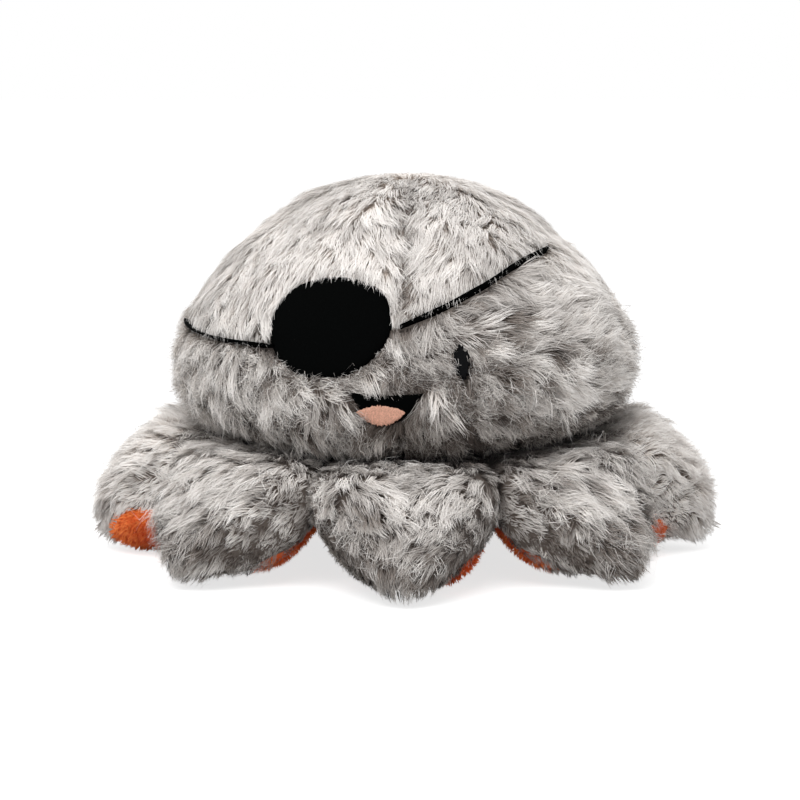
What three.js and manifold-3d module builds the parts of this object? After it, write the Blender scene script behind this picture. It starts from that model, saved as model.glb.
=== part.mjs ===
// A reversible plush octopus dog toy with its furry grey side out and its orange side folded in.
// Millimetres, +Z up. The origin is on the floor under the middle of the toy, and the face looks
// towards -Y. Azimuths are degrees from the face, positive towards +X.
import * as THREE from "three";
import { mergeVertices } from "three/addons/utils/BufferGeometryUtils.js";
import Module from "manifold-3d";

const wasm = await Module();
wasm.setup();

// Head: a low dome over full cheeks, which turn in to the neck seam
const headRadius = 75.5;
const headTopHeight = 121;
const headWidestHeight = 65;
const headFullness = 1.66;
const cheekLength = 10;
const cheekTurnHeight = 51.2;
const cheekTurnInset = 0.3;
const neckRadius = 62;
const neckHeight = 43;
const headLeanAngle = 5;

// Head cover: fur gores with sunk seams between them
const goreNames = ["front_right", "back_right", "back_left", "front_left"];
const coverThickness = 6;
const coverTurnIn = 8;
const seamGap = 0.3;
const seamDip = 2.2;
const seamNarrowness = 3;

// Clearance that pieces sewn or packed against each other keep
const fitGap = 0.3;

// Lining of the cavity under the head, ribbed like a pumpkin
const cavityRadius = 28;
const cavityCrownHeight = 26;
const cavityMouthHeight = 15;
const liningThickness = 2.6;
const ribCount = 8;
const ribDip = 1.6;

// Squeaker in a well in the crown of the head stuffing, on a bed of it over the cavity
const squeakerRadius = 17;
const squeakerSideHeight = 9;
const squeakerCrownHeight = 6;
const squeakerWall = 1.2;
const squeakerBaseDepth = 28;
const squeakerBedThickness = 10.4;
const reedRadius = 4.5;
const reedLength = 4;

// Face: places as azimuth and height, sizes along the cloth, depths below the tips of the fur
const patchAzimuth = -20.5;
const patchHeight = 86;
const patchWidth = 38.5;
const patchLength = 33.5;
const patchTilt = 4;
const patchDepth = 2;
const patchThickness = 2;

const strapWidth = 3.2;
const strapThickness = 1.4;
const strapDepth = 3;
const strapLeftAzimuths = [-95, -69, -52, -34];
const strapLeftHeights = [76.6, 77.4, 78, 79];
const strapRightAzimuths = [-9, 9, 23, 42, 66, 95];
const strapRightHeights = [81.9, 90.1, 94.8, 100.2, 102.4, 102.6];

const eyeAzimuth = 14.4;
const eyeHeight = 75.8;
const eyeWidth = 5.6;
const eyeLength = 11;
const eyeDepth = 2.5;
const eyeThickness = 1.5;

const mouthAzimuth = -4.6;
const mouthHeight = 66.2;
const mouthWidth = 22.5;
const mouthDrop = 11;
const mouthSag = 1;
const mouthDepth = 3.2;
const mouthThickness = 1.6;

const tongueWidth = 15.4;
const tongueRise = 2.4;
const tongueDrop = 4.1;
const tongueBelowMouth = 5.7;
const tongueAzimuth = -5.2;
const tongueThickness = 0.9;

// Legs: stuffed lobes that swell from the neck seam and taper to a drooping tip
const legNames = ["front", "front_right", "right", "back_right", "back", "back_left", "left", "front_left"];
const legReach = 101;
const legTipHeight = 13;
const legCrownRadius = 75;
const legCrownHeight = 46;
const legShoulder = 1.22;
const legWidestRadius = 69;
const legFootRadius = 80;
const legArchRadius = 75;
const legArchHeight = 26;
const legArchPower = 1.1;
const legSideGap = 0.8;
const legNeckGap = 0.4;
const legRootGap = 1;
const legBellyShare = 0.68;
const legTaperPower = 1.6;
const legRootSquareness = 4.5;
const legTipSquareness = 2.1;
const legCoverThickness = 4.5;
const soleEdgeHeight = 7;
const soleSlope = 0.25;
const footFlatDepth = 0.5;

// Facets
const headFacets = 28;
const headStations = 11;
const liningFacets = 24;
const liningSideSteps = 2;
const liningTopSteps = 4;
const legFacets = 10;
const legRootSteps = 2;
const legCrownSteps = 2;
const legTipSteps = 4;
const squeakerFacets = 14;
const squeakerCrownSteps = 3;
const patchFacets = 22;
const trimFacets = 14;
const strapStepsPerPlace = 2;
const outlineSteps = 60;
const innerLoopShare = 0.5;

const squeakerBaseHeight = headTopHeight - squeakerBaseDepth;
const cavityTopHeight = squeakerBaseHeight - squeakerBedThickness - liningThickness;
const cavityShoulderHeight = cavityTopHeight - cavityCrownHeight;
const sectorHalfAngle = Math.PI / legNames.length;
const degrees = Math.PI / 180;
const farOut = 3 * legReach;
const nearAxis = 1;

// The head leans forward on its neck, so the neck seam and the legs' tops are lower at the face
const headLean = new THREE.Matrix4()
  .makeTranslation(0, 0, neckHeight)
  .multiply(new THREE.Matrix4().makeRotationX(headLeanAngle * degrees))
  .multiply(new THREE.Matrix4().makeTranslation(0, 0, -neckHeight));

const greyFur = new THREE.MeshStandardMaterial({ color: 0xb4aca5, roughness: 0.95, metalness: 0 });
const orangePlush = new THREE.MeshStandardMaterial({ color: 0xd9581c, roughness: 0.9, metalness: 0 });
const stuffing = new THREE.MeshStandardMaterial({ color: 0xf2efe8, roughness: 1, metalness: 0 });
const blackFelt = new THREE.MeshStandardMaterial({ color: 0x0c0c0d, roughness: 1, metalness: 0 });
const blackThread = new THREE.MeshStandardMaterial({ color: 0x0d0d0e, roughness: 0.7, metalness: 0 });
const pinkThread = new THREE.MeshStandardMaterial({ color: 0xe0917c, roughness: 0.6, metalness: 0 });
const squeakerPlastic = new THREE.MeshStandardMaterial({ color: 0xe9e6dc, roughness: 0.4, metalness: 0 });

// A closed geometry with its shared vertices merged, its collapsed faces dropped and facing out
function tidyGeometry(geometry) {
  geometry.deleteAttribute("normal");
  geometry.deleteAttribute("uv");
  const merged = mergeVertices(geometry, 1e-4);
  const corner = merged.index.array;
  const faces = [];
  for (let i = 0; i < corner.length; i += 3) {
    const [a, b, c] = [corner[i], corner[i + 1], corner[i + 2]];
    if (a !== b && b !== c && c !== a) faces.push(a, b, c);
  }
  merged.setIndex(faces);
  if (signedVolume(merged) < 0) merged.setIndex(faces.reverse());
  return merged;
}

function signedVolume(geometry) {
  const place = geometry.getAttribute("position");
  const corner = geometry.index.array;
  const [a, b, c] = [new THREE.Vector3(), new THREE.Vector3(), new THREE.Vector3()];
  let volume = 0;
  for (let i = 0; i < corner.length; i += 3) {
    a.fromBufferAttribute(place, corner[i]);
    b.fromBufferAttribute(place, corner[i + 1]);
    c.fromBufferAttribute(place, corner[i + 2]);
    volume += a.dot(b.cross(c)) / 6;
  }
  return volume;
}

function toSolid(geometry) {
  const tidy = tidyGeometry(geometry);
  return new wasm.Manifold(
    new wasm.Mesh({
      numProp: 3,
      vertProperties: tidy.getAttribute("position").array,
      triVerts: new Uint32Array(tidy.index.array),
    }),
  );
}

function toGeometry(solid) {
  const mesh = solid.getMesh();
  return new THREE.BufferGeometry()
    .setAttribute("position", new THREE.BufferAttribute(mesh.vertProperties, 3))
    .setIndex(new THREE.BufferAttribute(mesh.triVerts, 1));
}

function addPiece(group, name, solid, material) {
  const piece = new THREE.Mesh(toGeometry(solid), material);
  piece.name = name;
  group.add(piece);
}

// A solid skinned over loops of points, all with the same count, and closed to a point at each end
function skinned(loops, firstPoint, lastPoint) {
  const count = loops[0].length;
  const places = loops.flat().concat(firstPoint, lastPoint);
  const [first, last] = [places.length - 2, places.length - 1];
  const faces = [];
  for (let j = 0; j < count; j++) {
    const k = (j + 1) % count;
    faces.push(first, k, j);
    for (let i = 0; i + 1 < loops.length; i++) {
      const [near, far] = [i * count, (i + 1) * count];
      faces.push(near + j, near + k, far + k, near + j, far + k, far + j);
    }
    const end = (loops.length - 1) * count;
    faces.push(last, end + j, end + k);
  }
  const geometry = new THREE.BufferGeometry().setFromPoints(places).setIndex(faces);
  return toSolid(geometry);
}

function box(lowest, highest) {
  const size = highest.clone().sub(lowest);
  const centre = lowest.clone().add(highest).multiplyScalar(0.5);
  return new THREE.BoxGeometry(size.x, size.y, size.z).translate(centre.x, centre.y, centre.z);
}

// A cylinder about the leaning head's own axis
function headCylinder(radius, low, high) {
  const profile = [
    new THREE.Vector2(0, low),
    new THREE.Vector2(radius, low),
    new THREE.Vector2(radius, high),
    new THREE.Vector2(0, high),
  ];
  return toSolid(lathe(profile, headFacets).applyMatrix4(headLean));
}

function lathe(profile, facets) {
  return new THREE.LatheGeometry(profile, facets).rotateX(Math.PI / 2);
}

// How far the cloth dips at its seams, from 1 on a seam to 0 between two of them
function seamShare(azimuth, seams) {
  return Math.cos((azimuth * seams) / 2) ** (2 * seamNarrowness);
}

// The head's outline from crown to neck as [radius, height, seam share], closely spaced
const headOutline = [];
for (let i = 0; i <= outlineSteps; i++) {
  const turn = ((i / outlineSteps) * Math.PI) / 2;
  const rise = (headTopHeight - headWidestHeight) * Math.cos(turn) ** (2 / headFullness);
  headOutline.push([headRadius * Math.sin(turn), headWidestHeight + rise, Math.sin(turn)]);
}
const cheek = new THREE.CubicBezierCurve(
  new THREE.Vector2(headRadius, headWidestHeight),
  new THREE.Vector2(headRadius, headWidestHeight - cheekLength),
  new THREE.Vector2(headRadius - cheekTurnInset, cheekTurnHeight),
  new THREE.Vector2(neckRadius, neckHeight),
);
for (let i = 1; i <= outlineSteps; i++) {
  const share = i / outlineSteps;
  const point = cheek.getPoint(share);
  headOutline.push([point.x, point.y, 1 - share * share]);
}
const outlineLengths = [0];
for (let i = 1; i < headOutline.length; i++) {
  const [r0, z0] = headOutline[i - 1];
  const [r1, z1] = headOutline[i];
  outlineLengths.push(outlineLengths[i - 1] + Math.hypot(r1 - r0, z1 - z0));
}
const outlineLength = outlineLengths.at(-1);

// The outline at a distance along it from the crown: place, inward normal and seam share
function outlineAt(distance) {
  const along = THREE.MathUtils.clamp(distance, 0, outlineLength);
  let i = outlineLengths.findIndex((length) => length >= along);
  i = Math.max(1, i);
  const share = (along - outlineLengths[i - 1]) / (outlineLengths[i] - outlineLengths[i - 1]);
  const [before, after] = [headOutline[i - 1], headOutline[i]];
  const [radius, height, dip] = before.map((value, axis) => THREE.MathUtils.lerp(value, after[axis], share));
  const tangent = new THREE.Vector2(after[0] - before[0], after[1] - before[1]).normalize();
  return { radius, height, dip, inRadius: tangent.y, inHeight: -tangent.x };
}

function distanceAtHeight(height) {
  const i = headOutline.findIndex(([, z]) => z <= height);
  const [above, below] = [headOutline[i - 1][1], headOutline[i][1]];
  return THREE.MathUtils.lerp(outlineLengths[i - 1], outlineLengths[i], (above - height) / (above - below));
}

// A point on the head: across is along the parallel from the azimuth, depth is below the fur tips
function onHead(azimuth, distance, across, depth) {
  const at = outlineAt(distance);
  const turned = azimuth + across / Math.max(at.radius, nearAxis);
  const dip = seamDip * at.dip * seamShare(turned, goreNames.length);
  const radius = Math.max(at.radius - dip + depth * at.inRadius, 0);
  const height = at.height + depth * at.inHeight;
  return fromAxis(turned, radius, height).applyMatrix4(headLean);
}

function fromAxis(azimuth, radius, height) {
  return new THREE.Vector3(radius * Math.sin(azimuth), -radius * Math.cos(azimuth), height);
}

function headSolid(depth) {
  const loops = [];
  for (let i = 1; i <= headStations; i++) {
    const distance = (i / headStations) * outlineLength;
    const loop = [];
    for (let j = 0; j < headFacets; j++)
      loop.push(onHead((j / headFacets) * 2 * Math.PI, distance, 0, depth));
    loops.push(loop);
  }
  const neck = outlineAt(outlineLength);
  const bottom = fromAxis(0, 0, neck.height + depth * neck.inHeight).applyMatrix4(headLean);
  return skinned(loops, onHead(0, 0, 0, depth), bottom);
}

// A flat piece of cloth laid on the head. Its outline gives across and up for a turn from 0 to 1
// and a margin, and it is skinned round a centre in that outline.
function appliqueSolid(azimuth, height, outline, centre, facets, margin, highest, lowest) {
  const distance = distanceAtHeight(height);
  const pointAt = (turn, share, depth) => {
    const edge = outline(turn, margin).lerp(centre, 1 - share);
    return onHead(azimuth * degrees, distance - edge.y, edge.x, depth);
  };
  const loopAt = (share, depth) =>
    Array.from({ length: facets }, (_, j) => pointAt(j / facets, share, depth));
  const loops = [
    loopAt(innerLoopShare, highest),
    loopAt(1, highest),
    loopAt(1, lowest),
    loopAt(innerLoopShare, lowest),
  ];
  return skinned(loops, pointAt(0, 0, highest), pointAt(0, 0, lowest));
}

function ellipse(width, length, tilt) {
  return (turn, margin) =>
    new THREE.Vector2(
      (width / 2 + margin) * Math.cos(2 * Math.PI * turn),
      (length / 2 + margin) * Math.sin(2 * Math.PI * turn),
    ).rotateAround(new THREE.Vector2(), tilt * degrees);
}

// A closed lens with pointed ends, rising above and dropping below the line between them
function lens(width, rise, drop) {
  return (turn, margin) => {
    const wave = Math.sin(2 * Math.PI * turn);
    const across = (width / 2 + margin) * Math.cos(2 * Math.PI * turn);
    return new THREE.Vector2(across, (wave > 0 ? rise : drop) * wave + margin * Math.sign(wave));
  };
}

// A band laid on the head through places given as azimuths and heights
function bandSolid(azimuths, heights, width, highest, lowest) {
  const route = new THREE.SplineCurve(
    azimuths.map((azimuth, i) => new THREE.Vector2(azimuth * degrees, distanceAtHeight(heights[i]))),
  );
  const steps = strapStepsPerPlace * azimuths.length;
  const loops = [];
  for (let i = 0; i <= steps; i++) {
    const place = route.getPoint(i / steps);
    const ahead = route.getTangent(i / steps);
    const radius = outlineAt(place.y).radius;
    const side = new THREE.Vector2(ahead.y, -ahead.x * radius).setLength(width / 2);
    const corner = (sign, depth) => onHead(place.x, place.y + sign * side.y, sign * side.x, depth);
    loops.push([corner(1, highest), corner(-1, highest), corner(-1, lowest), corner(1, lowest)]);
  }
  const middleOf = (loop) =>
    loop.reduce((sum, point) => sum.add(point), new THREE.Vector3()).divideScalar(loop.length);
  return skinned(loops, middleOf(loops[0]), middleOf(loops.at(-1)));
}

// A ribbed cup of the cavity, open at the mouth, with its wall set out by a distance
function cavitySolid(outset, mouthHeight) {
  const loops = [];
  const shoulder = cavityTopHeight - cavityShoulderHeight + outset;
  const places = [];
  for (let i = 0; i < liningSideSteps; i++)
    places.push([1, THREE.MathUtils.lerp(mouthHeight, cavityShoulderHeight, i / liningSideSteps)]);
  for (let i = 0; i < liningTopSteps; i++) {
    const turn = ((i / liningTopSteps) * Math.PI) / 2;
    places.push([Math.cos(turn), cavityShoulderHeight + shoulder * Math.sin(turn)]);
  }
  for (const [share, height] of places) {
    const loop = [];
    for (let j = 0; j < liningFacets; j++) {
      const azimuth = (j / liningFacets) * 2 * Math.PI;
      const radius = share * (cavityRadius + outset - ribDip * seamShare(azimuth, ribCount));
      loop.push(fromAxis(azimuth, radius, height));
    }
    loops.push(loop);
  }
  const bottom = new THREE.Vector3(0, 0, mouthHeight);
  return skinned(loops, bottom, new THREE.Vector3(0, 0, cavityShoulderHeight + shoulder));
}

// Head cover, with recesses for the face
const patchOutline = ellipse(patchWidth, patchLength, patchTilt);
const eyeOutline = ellipse(eyeWidth, eyeLength, 0);
const mouthOutline = lens(mouthWidth, -mouthSag, mouthDrop);
const tongueOutline = lens(tongueWidth, tongueRise, tongueDrop);
const mouthCentre = new THREE.Vector2(0, -mouthDrop / 2);
const tongueHeight = mouthHeight - tongueBelowMouth;
const ownCentre = new THREE.Vector2();

const patchSolid = (...room) =>
  appliqueSolid(patchAzimuth, patchHeight, patchOutline, ownCentre, patchFacets, ...room);
const eyeSolid = (...room) =>
  appliqueSolid(eyeAzimuth, eyeHeight, eyeOutline, ownCentre, trimFacets, ...room);
const mouthSolid = (...room) =>
  appliqueSolid(mouthAzimuth, mouthHeight, mouthOutline, mouthCentre, trimFacets, ...room);
const tongueSolid = (...room) =>
  appliqueSolid(tongueAzimuth, tongueHeight, tongueOutline, ownCentre, trimFacets, ...room);
const strapLeftSolid = (...room) => strapSolid(strapLeftAzimuths, strapLeftHeights, ...room);
const strapRightSolid = (...room) => strapSolid(strapRightAzimuths, strapRightHeights, ...room);

// The strap runs from the patch to a side seam of the head, where it is sewn in
function strapSolid(azimuths, heights, margin, highest, lowest) {
  const end = margin > 0 ? 0 : -fitGap;
  const front = box(new THREE.Vector3(-farOut, -farOut, 0), new THREE.Vector3(farOut, end, farOut));
  const band = bandSolid(azimuths, heights, strapWidth + 2 * margin, highest, lowest);
  return band.intersect(toSolid(front));
}

const mouthFloor = mouthDepth + mouthThickness;
const tongueFloor = mouthDepth - fitGap;
const faceParts = [
  ["eye_patch", patchSolid, patchDepth, patchDepth + patchThickness, blackFelt],
  ["strap_left", strapLeftSolid, strapDepth, strapDepth + strapThickness, blackFelt],
  ["strap_right", strapRightSolid, strapDepth, strapDepth + strapThickness, blackFelt],
  ["eye", eyeSolid, eyeDepth, eyeDepth + eyeThickness, blackThread],
  ["mouth", mouthSolid, mouthDepth, mouthFloor, blackFelt],
  ["tongue", tongueSolid, tongueFloor - tongueThickness, tongueFloor, pinkThread],
];

const part = new THREE.Group();
const head = new THREE.Group();
part.add(head);

const recessTop = -coverThickness;
let headShell = headSolid(0).subtract(headSolid(coverThickness));
headShell = headShell.subtract(headCylinder(neckRadius - coverTurnIn, 0, headWidestHeight));
for (const [name, makeSolid, , lowest] of faceParts)
  if (name !== "tongue")
    headShell = headShell.subtract(makeSolid(fitGap, recessTop, lowest + fitGap));

goreNames.forEach((name, i) => {
  const quarter = box(
    new THREE.Vector3(seamGap / 2, -farOut, 0),
    new THREE.Vector3(farOut, -seamGap / 2, farOut),
  ).rotateZ((i * Math.PI) / 2);
  const gore = headShell.intersect(toSolid(quarter.applyMatrix4(headLean)));
  addPiece(head, "head_cover_" + name, gore, greyFur);
});

// Pieces laid on one another on the face keep clear of each other
const patchRoom = patchSolid(fitGap, recessTop, coverThickness);
for (const [name, makeSolid, highest, lowest, material] of faceParts) {
  let solid = makeSolid(0, highest, lowest);
  if (name.startsWith("strap")) solid = solid.subtract(patchRoom);
  addPiece(head, name, solid, material);
}

// Head stuffing, round the lining and under the squeaker
const wellRadius = squeakerRadius + fitGap;
const wellFloor = squeakerBaseHeight - fitGap;
const lining = cavitySolid(liningThickness, cavityMouthHeight).subtract(
  cavitySolid(0, cavityMouthHeight - liningThickness),
);
const headStuffing = headSolid(coverThickness + fitGap)
  .add(headCylinder(neckRadius - coverTurnIn - fitGap, neckHeight, headWidestHeight))
  .subtract(cavitySolid(liningThickness + fitGap, 0))
  .subtract(headCylinder(wellRadius, wellFloor, farOut));
addPiece(head, "head_stuffing", headStuffing, stuffing);
addPiece(head, "cavity_lining", lining, orangePlush);

// Squeaker: a hollow bulb, with a reed in the hole of its base
function bulbEdge(inset) {
  const radius = squeakerRadius - inset;
  const points = [new THREE.Vector2(reedRadius + fitGap, inset), new THREE.Vector2(radius, inset)];
  for (let i = 0; i <= squeakerCrownSteps; i++) {
    const turn = ((i / squeakerCrownSteps) * Math.PI) / 2;
    const height = squeakerSideHeight + (squeakerCrownHeight - inset) * Math.sin(turn);
    points.push(new THREE.Vector2(radius * Math.cos(turn), height));
  }
  return points;
}
const bulbProfile = [...bulbEdge(0), ...bulbEdge(squeakerWall).reverse(), bulbEdge(0)[0]];
const reedProfile = [
  new THREE.Vector2(0, 0),
  new THREE.Vector2(reedRadius, 0),
  new THREE.Vector2(reedRadius, reedLength),
  new THREE.Vector2(0, reedLength),
];
const squeaker = new THREE.Group();
squeaker.position.z = squeakerBaseHeight;
squeaker.applyMatrix4(headLean);
head.add(squeaker);
addPiece(squeaker, "squeaker_bulb", toSolid(lathe(bulbProfile, squeakerFacets)), squeakerPlastic);
addPiece(squeaker, "squeaker_reed", toSolid(lathe(reedProfile, squeakerFacets)), squeakerPlastic);

// Legs, along +X in their own frame before the head's lean bears on them. Every outline is set in
// by an inset from the fur tips.
const legRootRadius = cavityRadius + liningThickness + legRootGap;
const legNeckTop = neckHeight - legNeckGap;

function legTopAt(radius, inset) {
  if (radius <= neckRadius) return legNeckTop - inset;
  if (radius <= legCrownRadius) {
    const rise = THREE.MathUtils.smoothstep(radius, neckRadius, legCrownRadius);
    return THREE.MathUtils.lerp(legNeckTop, legCrownHeight, rise) - inset;
  }
  const share = (radius - legCrownRadius) / (legReach - inset - legCrownRadius);
  const fall = legCrownHeight - inset - legTipHeight;
  return legTipHeight + fall * Math.sqrt(1 - share ** legShoulder);
}

function legBottomAt(radius, inset) {
  const lowest = inset - footFlatDepth;
  if (radius <= legArchRadius) {
    const share = (legArchRadius - radius) / (legArchRadius - legRootRadius);
    return lowest + legArchHeight * share ** legArchPower;
  }
  if (radius <= legFootRadius) return lowest;
  const share = (radius - legFootRadius) / (legReach - inset - legFootRadius);
  return lowest + (legTipHeight - lowest) * (1 - Math.sqrt(1 - share * share));
}

function legHalfWidthAt(radius, inset) {
  const sideGap = legSideGap / 2 / Math.cos(sectorHalfAngle);
  const widest = Math.min(radius, legWidestRadius) * Math.tan(sectorHalfAngle) - sideGap - inset;
  if (radius <= legWidestRadius) return widest;
  const share = (radius - legWidestRadius) / (legReach - inset - legWidestRadius);
  return widest * Math.sqrt(1 - share ** legTaperPower);
}

function legStations(inset, rootRadius) {
  const radii = [];
  for (let i = 0; i < legRootSteps; i++)
    radii.push(THREE.MathUtils.lerp(rootRadius, neckRadius, i / legRootSteps));
  for (let i = 0; i < legCrownSteps; i++)
    radii.push(THREE.MathUtils.lerp(neckRadius, legCrownRadius, i / legCrownSteps));
  for (let i = 0; i < legTipSteps; i++) {
    const turn = ((i / legTipSteps) * Math.PI) / 2;
    radii.push(legCrownRadius + (legReach - inset - legCrownRadius) * Math.sin(turn));
  }
  return radii;
}

// The head bears down on the legs at the face and lifts them at the back, and leaves the floor flat
function pressed(point, turn) {
  const forward = -point.x * Math.sin(turn) - point.y * Math.cos(turn);
  point.z *= 1 - (forward * Math.tan(headLeanAngle * degrees)) / neckHeight;
  return point;
}

// The whole leg, skinned over upright loops from its root to its tip
function legSolid(turnOut, inset, rootRadius) {
  const loops = legStations(inset, rootRadius).map((radius) => {
    const top = legTopAt(radius, inset);
    const bottom = legBottomAt(radius, inset);
    const belly = THREE.MathUtils.lerp(bottom, top, legBellyShare);
    const halfWidth = legHalfWidthAt(radius, inset);
    const roundness = THREE.MathUtils.smoothstep(radius, neckRadius, legFootRadius);
    const squareness = THREE.MathUtils.lerp(legRootSquareness, legTipSquareness, roundness);
    const loop = [];
    for (let j = 0; j < legFacets; j++) {
      const turn = (j / legFacets) * 2 * Math.PI;
      const [across, up] = [Math.sin(turn), Math.cos(turn)];
      const power = 2 / (up > 0 ? squareness : legTipSquareness);
      const y = halfWidth * Math.sign(across) * Math.abs(across) ** power;
      const z = belly + (up > 0 ? top - belly : bottom - belly) * Math.abs(up) ** power;
      loop.push(pressed(new THREE.Vector3(radius, y, z), turnOut));
    }
    return loop;
  });
  const rootHeight = (legTopAt(rootRadius, inset) + legBottomAt(rootRadius, inset)) / 2;
  const root = new THREE.Vector3(rootRadius, 0, rootHeight);
  const tip = new THREE.Vector3(legReach - inset, 0, legTipHeight);
  return skinned(loops, pressed(root, turnOut), pressed(tip, turnOut));
}

// The seam between the grey cover and the orange sole slopes down from the root to the tip
function belowSeam(clearance) {
  const slab = box(new THREE.Vector3(-farOut, -farOut, -farOut), new THREE.Vector3(farOut, farOut, 0));
  slab.rotateY(Math.atan(soleSlope));
  return toSolid(slab.translate(legReach, 0, soleEdgeHeight + clearance));
}

const floor = toSolid(
  box(new THREE.Vector3(-farOut, -farOut, -farOut), new THREE.Vector3(farOut, farOut, 0)),
);
legNames.forEach((name, i) => {
  const turnOut = (2 * Math.PI * i) / legNames.length - Math.PI / 2;
  const leg = new THREE.Group();
  leg.rotation.z = turnOut;
  part.add(leg);
  const room = legSolid(turnOut, legCoverThickness, legRootRadius - legRootGap);
  const shell = legSolid(turnOut, 0, legRootRadius).subtract(room).subtract(floor);
  addPiece(leg, `leg_${name}_cover`, shell.subtract(belowSeam(seamGap / 2)), greyFur);
  addPiece(leg, `leg_${name}_sole`, shell.intersect(belowSeam(-seamGap / 2)), orangePlush);
  const filling = legSolid(turnOut, legCoverThickness + fitGap, legRootRadius);
  addPiece(leg, `leg_${name}_stuffing`, filling, stuffing);
});

export default part;
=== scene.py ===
# The looks of a reversible plush octopus dog toy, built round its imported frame. Metres, +Z up, and
# the face looks towards -Y. Azimuths are degrees from the face, positive towards +X.
import math
from functools import partial
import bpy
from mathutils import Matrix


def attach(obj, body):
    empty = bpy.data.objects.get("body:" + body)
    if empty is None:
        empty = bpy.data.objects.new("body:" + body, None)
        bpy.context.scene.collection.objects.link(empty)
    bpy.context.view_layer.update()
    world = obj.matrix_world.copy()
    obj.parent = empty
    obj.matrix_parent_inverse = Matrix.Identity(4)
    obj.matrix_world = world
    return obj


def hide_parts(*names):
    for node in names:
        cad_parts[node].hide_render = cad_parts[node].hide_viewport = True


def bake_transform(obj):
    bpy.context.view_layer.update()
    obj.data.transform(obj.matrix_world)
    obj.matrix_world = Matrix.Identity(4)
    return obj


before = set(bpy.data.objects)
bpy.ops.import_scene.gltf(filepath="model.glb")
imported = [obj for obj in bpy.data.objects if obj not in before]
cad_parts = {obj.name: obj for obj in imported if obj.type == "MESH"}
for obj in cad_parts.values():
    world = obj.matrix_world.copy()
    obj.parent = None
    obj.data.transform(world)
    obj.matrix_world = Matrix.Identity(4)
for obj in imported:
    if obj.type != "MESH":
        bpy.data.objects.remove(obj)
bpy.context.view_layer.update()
from types import SimpleNamespace

import bpy
import numpy as np
from mathutils import Vector

UV_MAP = "OFBake"
MM = 0.001

# Head, the same forms as the frame's
HEAD_RADIUS = 75.5 * MM
HEAD_TOP = 121 * MM
HEAD_WIDEST = 65 * MM
HEAD_FULLNESS = 1.66
CHEEK_LENGTH = 10 * MM
CHEEK_TURN_HEIGHT = 51.2 * MM
CHEEK_TURN_INSET = 0.3 * MM
NECK_RADIUS = 62 * MM
NECK_HEIGHT = 43 * MM
HEAD_LEAN = math.radians(5)
GORES = ["front_right", "back_right", "back_left", "front_left"]
COVER_TURN_IN = 8 * MM
SEAM_DIP = 2.2 * MM
SEAM_NARROWNESS = 3

# Lining of the cavity under the head
CAVITY_RADIUS = 28 * MM
CAVITY_TOP = 80 * MM
CAVITY_SHOULDER = 54 * MM
CAVITY_MOUTH = 15 * MM
LINING_THICKNESS = 2.6 * MM
RIB_COUNT = 8
RIB_DIP = 1.6 * MM

# Legs
LEGS = ["front", "front_right", "right", "back_right", "back", "back_left", "left", "front_left"]
LEG_REACH = 101 * MM
LEG_TIP_HEIGHT = 13 * MM
LEG_CROWN_RADIUS = 75 * MM
LEG_CROWN_HEIGHT = 46 * MM
LEG_SHOULDER = 1.22
LEG_WIDEST = 69 * MM
LEG_FOOT_RADIUS = 80 * MM
LEG_ARCH_RADIUS = 75 * MM
LEG_ARCH_HEIGHT = 26 * MM
LEG_ARCH_POWER = 1.1
LEG_SIDE_GAP = 0.8 * MM
LEG_NECK_GAP = 0.4 * MM
LEG_ROOT_GAP = 1 * MM
LEG_BELLY_SHARE = 0.68
LEG_TAPER = 1.6
LEG_ROOT_SQUARENESS = 4.5
LEG_TIP_SQUARENESS = 2.1
SOLE_EDGE_HEIGHT = 7 * MM
SOLE_SLOPE = 0.25
FOOT_FLAT = 0.5 * MM
LEG_STATIONS = 54
LEG_TURNS = 73
LEG_KNEE = 0.55

# Face: sizes are along the cloth, and depths below the tips of the fur
PATCH = {"azimuth": math.radians(-21), "height": 86.4 * MM, "width": 40 * MM, "length": 34.4 * MM,
         "tilt": math.radians(4), "depth": 2 * MM, "thickness": 2 * MM}
EYE = {"azimuth": math.radians(13.6), "height": 75.8 * MM, "width": 5.6 * MM, "length": 11 * MM,
       "tilt": 0, "depth": 1.3 * MM, "thickness": 1.5 * MM}
MOUTH = {"azimuth": math.radians(-4.6), "height": 66.4 * MM, "width": 22.8 * MM,
         "rise": -0.6 * MM, "drop": 10.4 * MM, "depth": 2 * MM, "thickness": 1.6 * MM}
MOUTH_COVERED = 1.3 * MM
TONGUE = {"azimuth": math.radians(-5.8), "height": 60.6 * MM, "width": 15.2 * MM,
          "rise": 2.1 * MM, "drop": 4.4 * MM, "depth": 1.5 * MM}
TONGUE_STITCHES = 36
STITCH_HEIGHT = 0.16 * MM
STITCH_UNEVEN = 0.3
LAID_RINGS = 14
LAID_POINTS = 96
STRAP_STEPS = 160
STRAP_WIDTH = 1.4 * MM
STRAP_TAPER = 0.12
STRAP_FOOT_DEPTH = 3.6 * MM
STRAP_EDGE_DEPTH = 0.7 * MM
STRAP_TOP_DEPTH = 0.3 * MM
STRAP_SHOWN = {"strap_left": 0.7 * MM, "strap_right": 0.75 * MM}
STRAP_SINKS = math.radians(60)
STRAP_SINK_TURN = math.radians(3)
STRAP_SINK_DEPTH = 2.6 * MM
PATCH_GAPS = {"strap_left": -1.5 * MM, "strap_right": 3 * MM}
STRAPS = {
    "strap_left": [(-84, 77 * MM), (-69, 77.4 * MM), (-52, 78 * MM), (-34, 79 * MM)],
    "strap_right": [(-9, 82.7 * MM), (9, 90.7 * MM), (23, 96.4 * MM), (42, 101.8 * MM),
                    (66, 103.8 * MM), (76, 103.8 * MM)],
}

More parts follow.
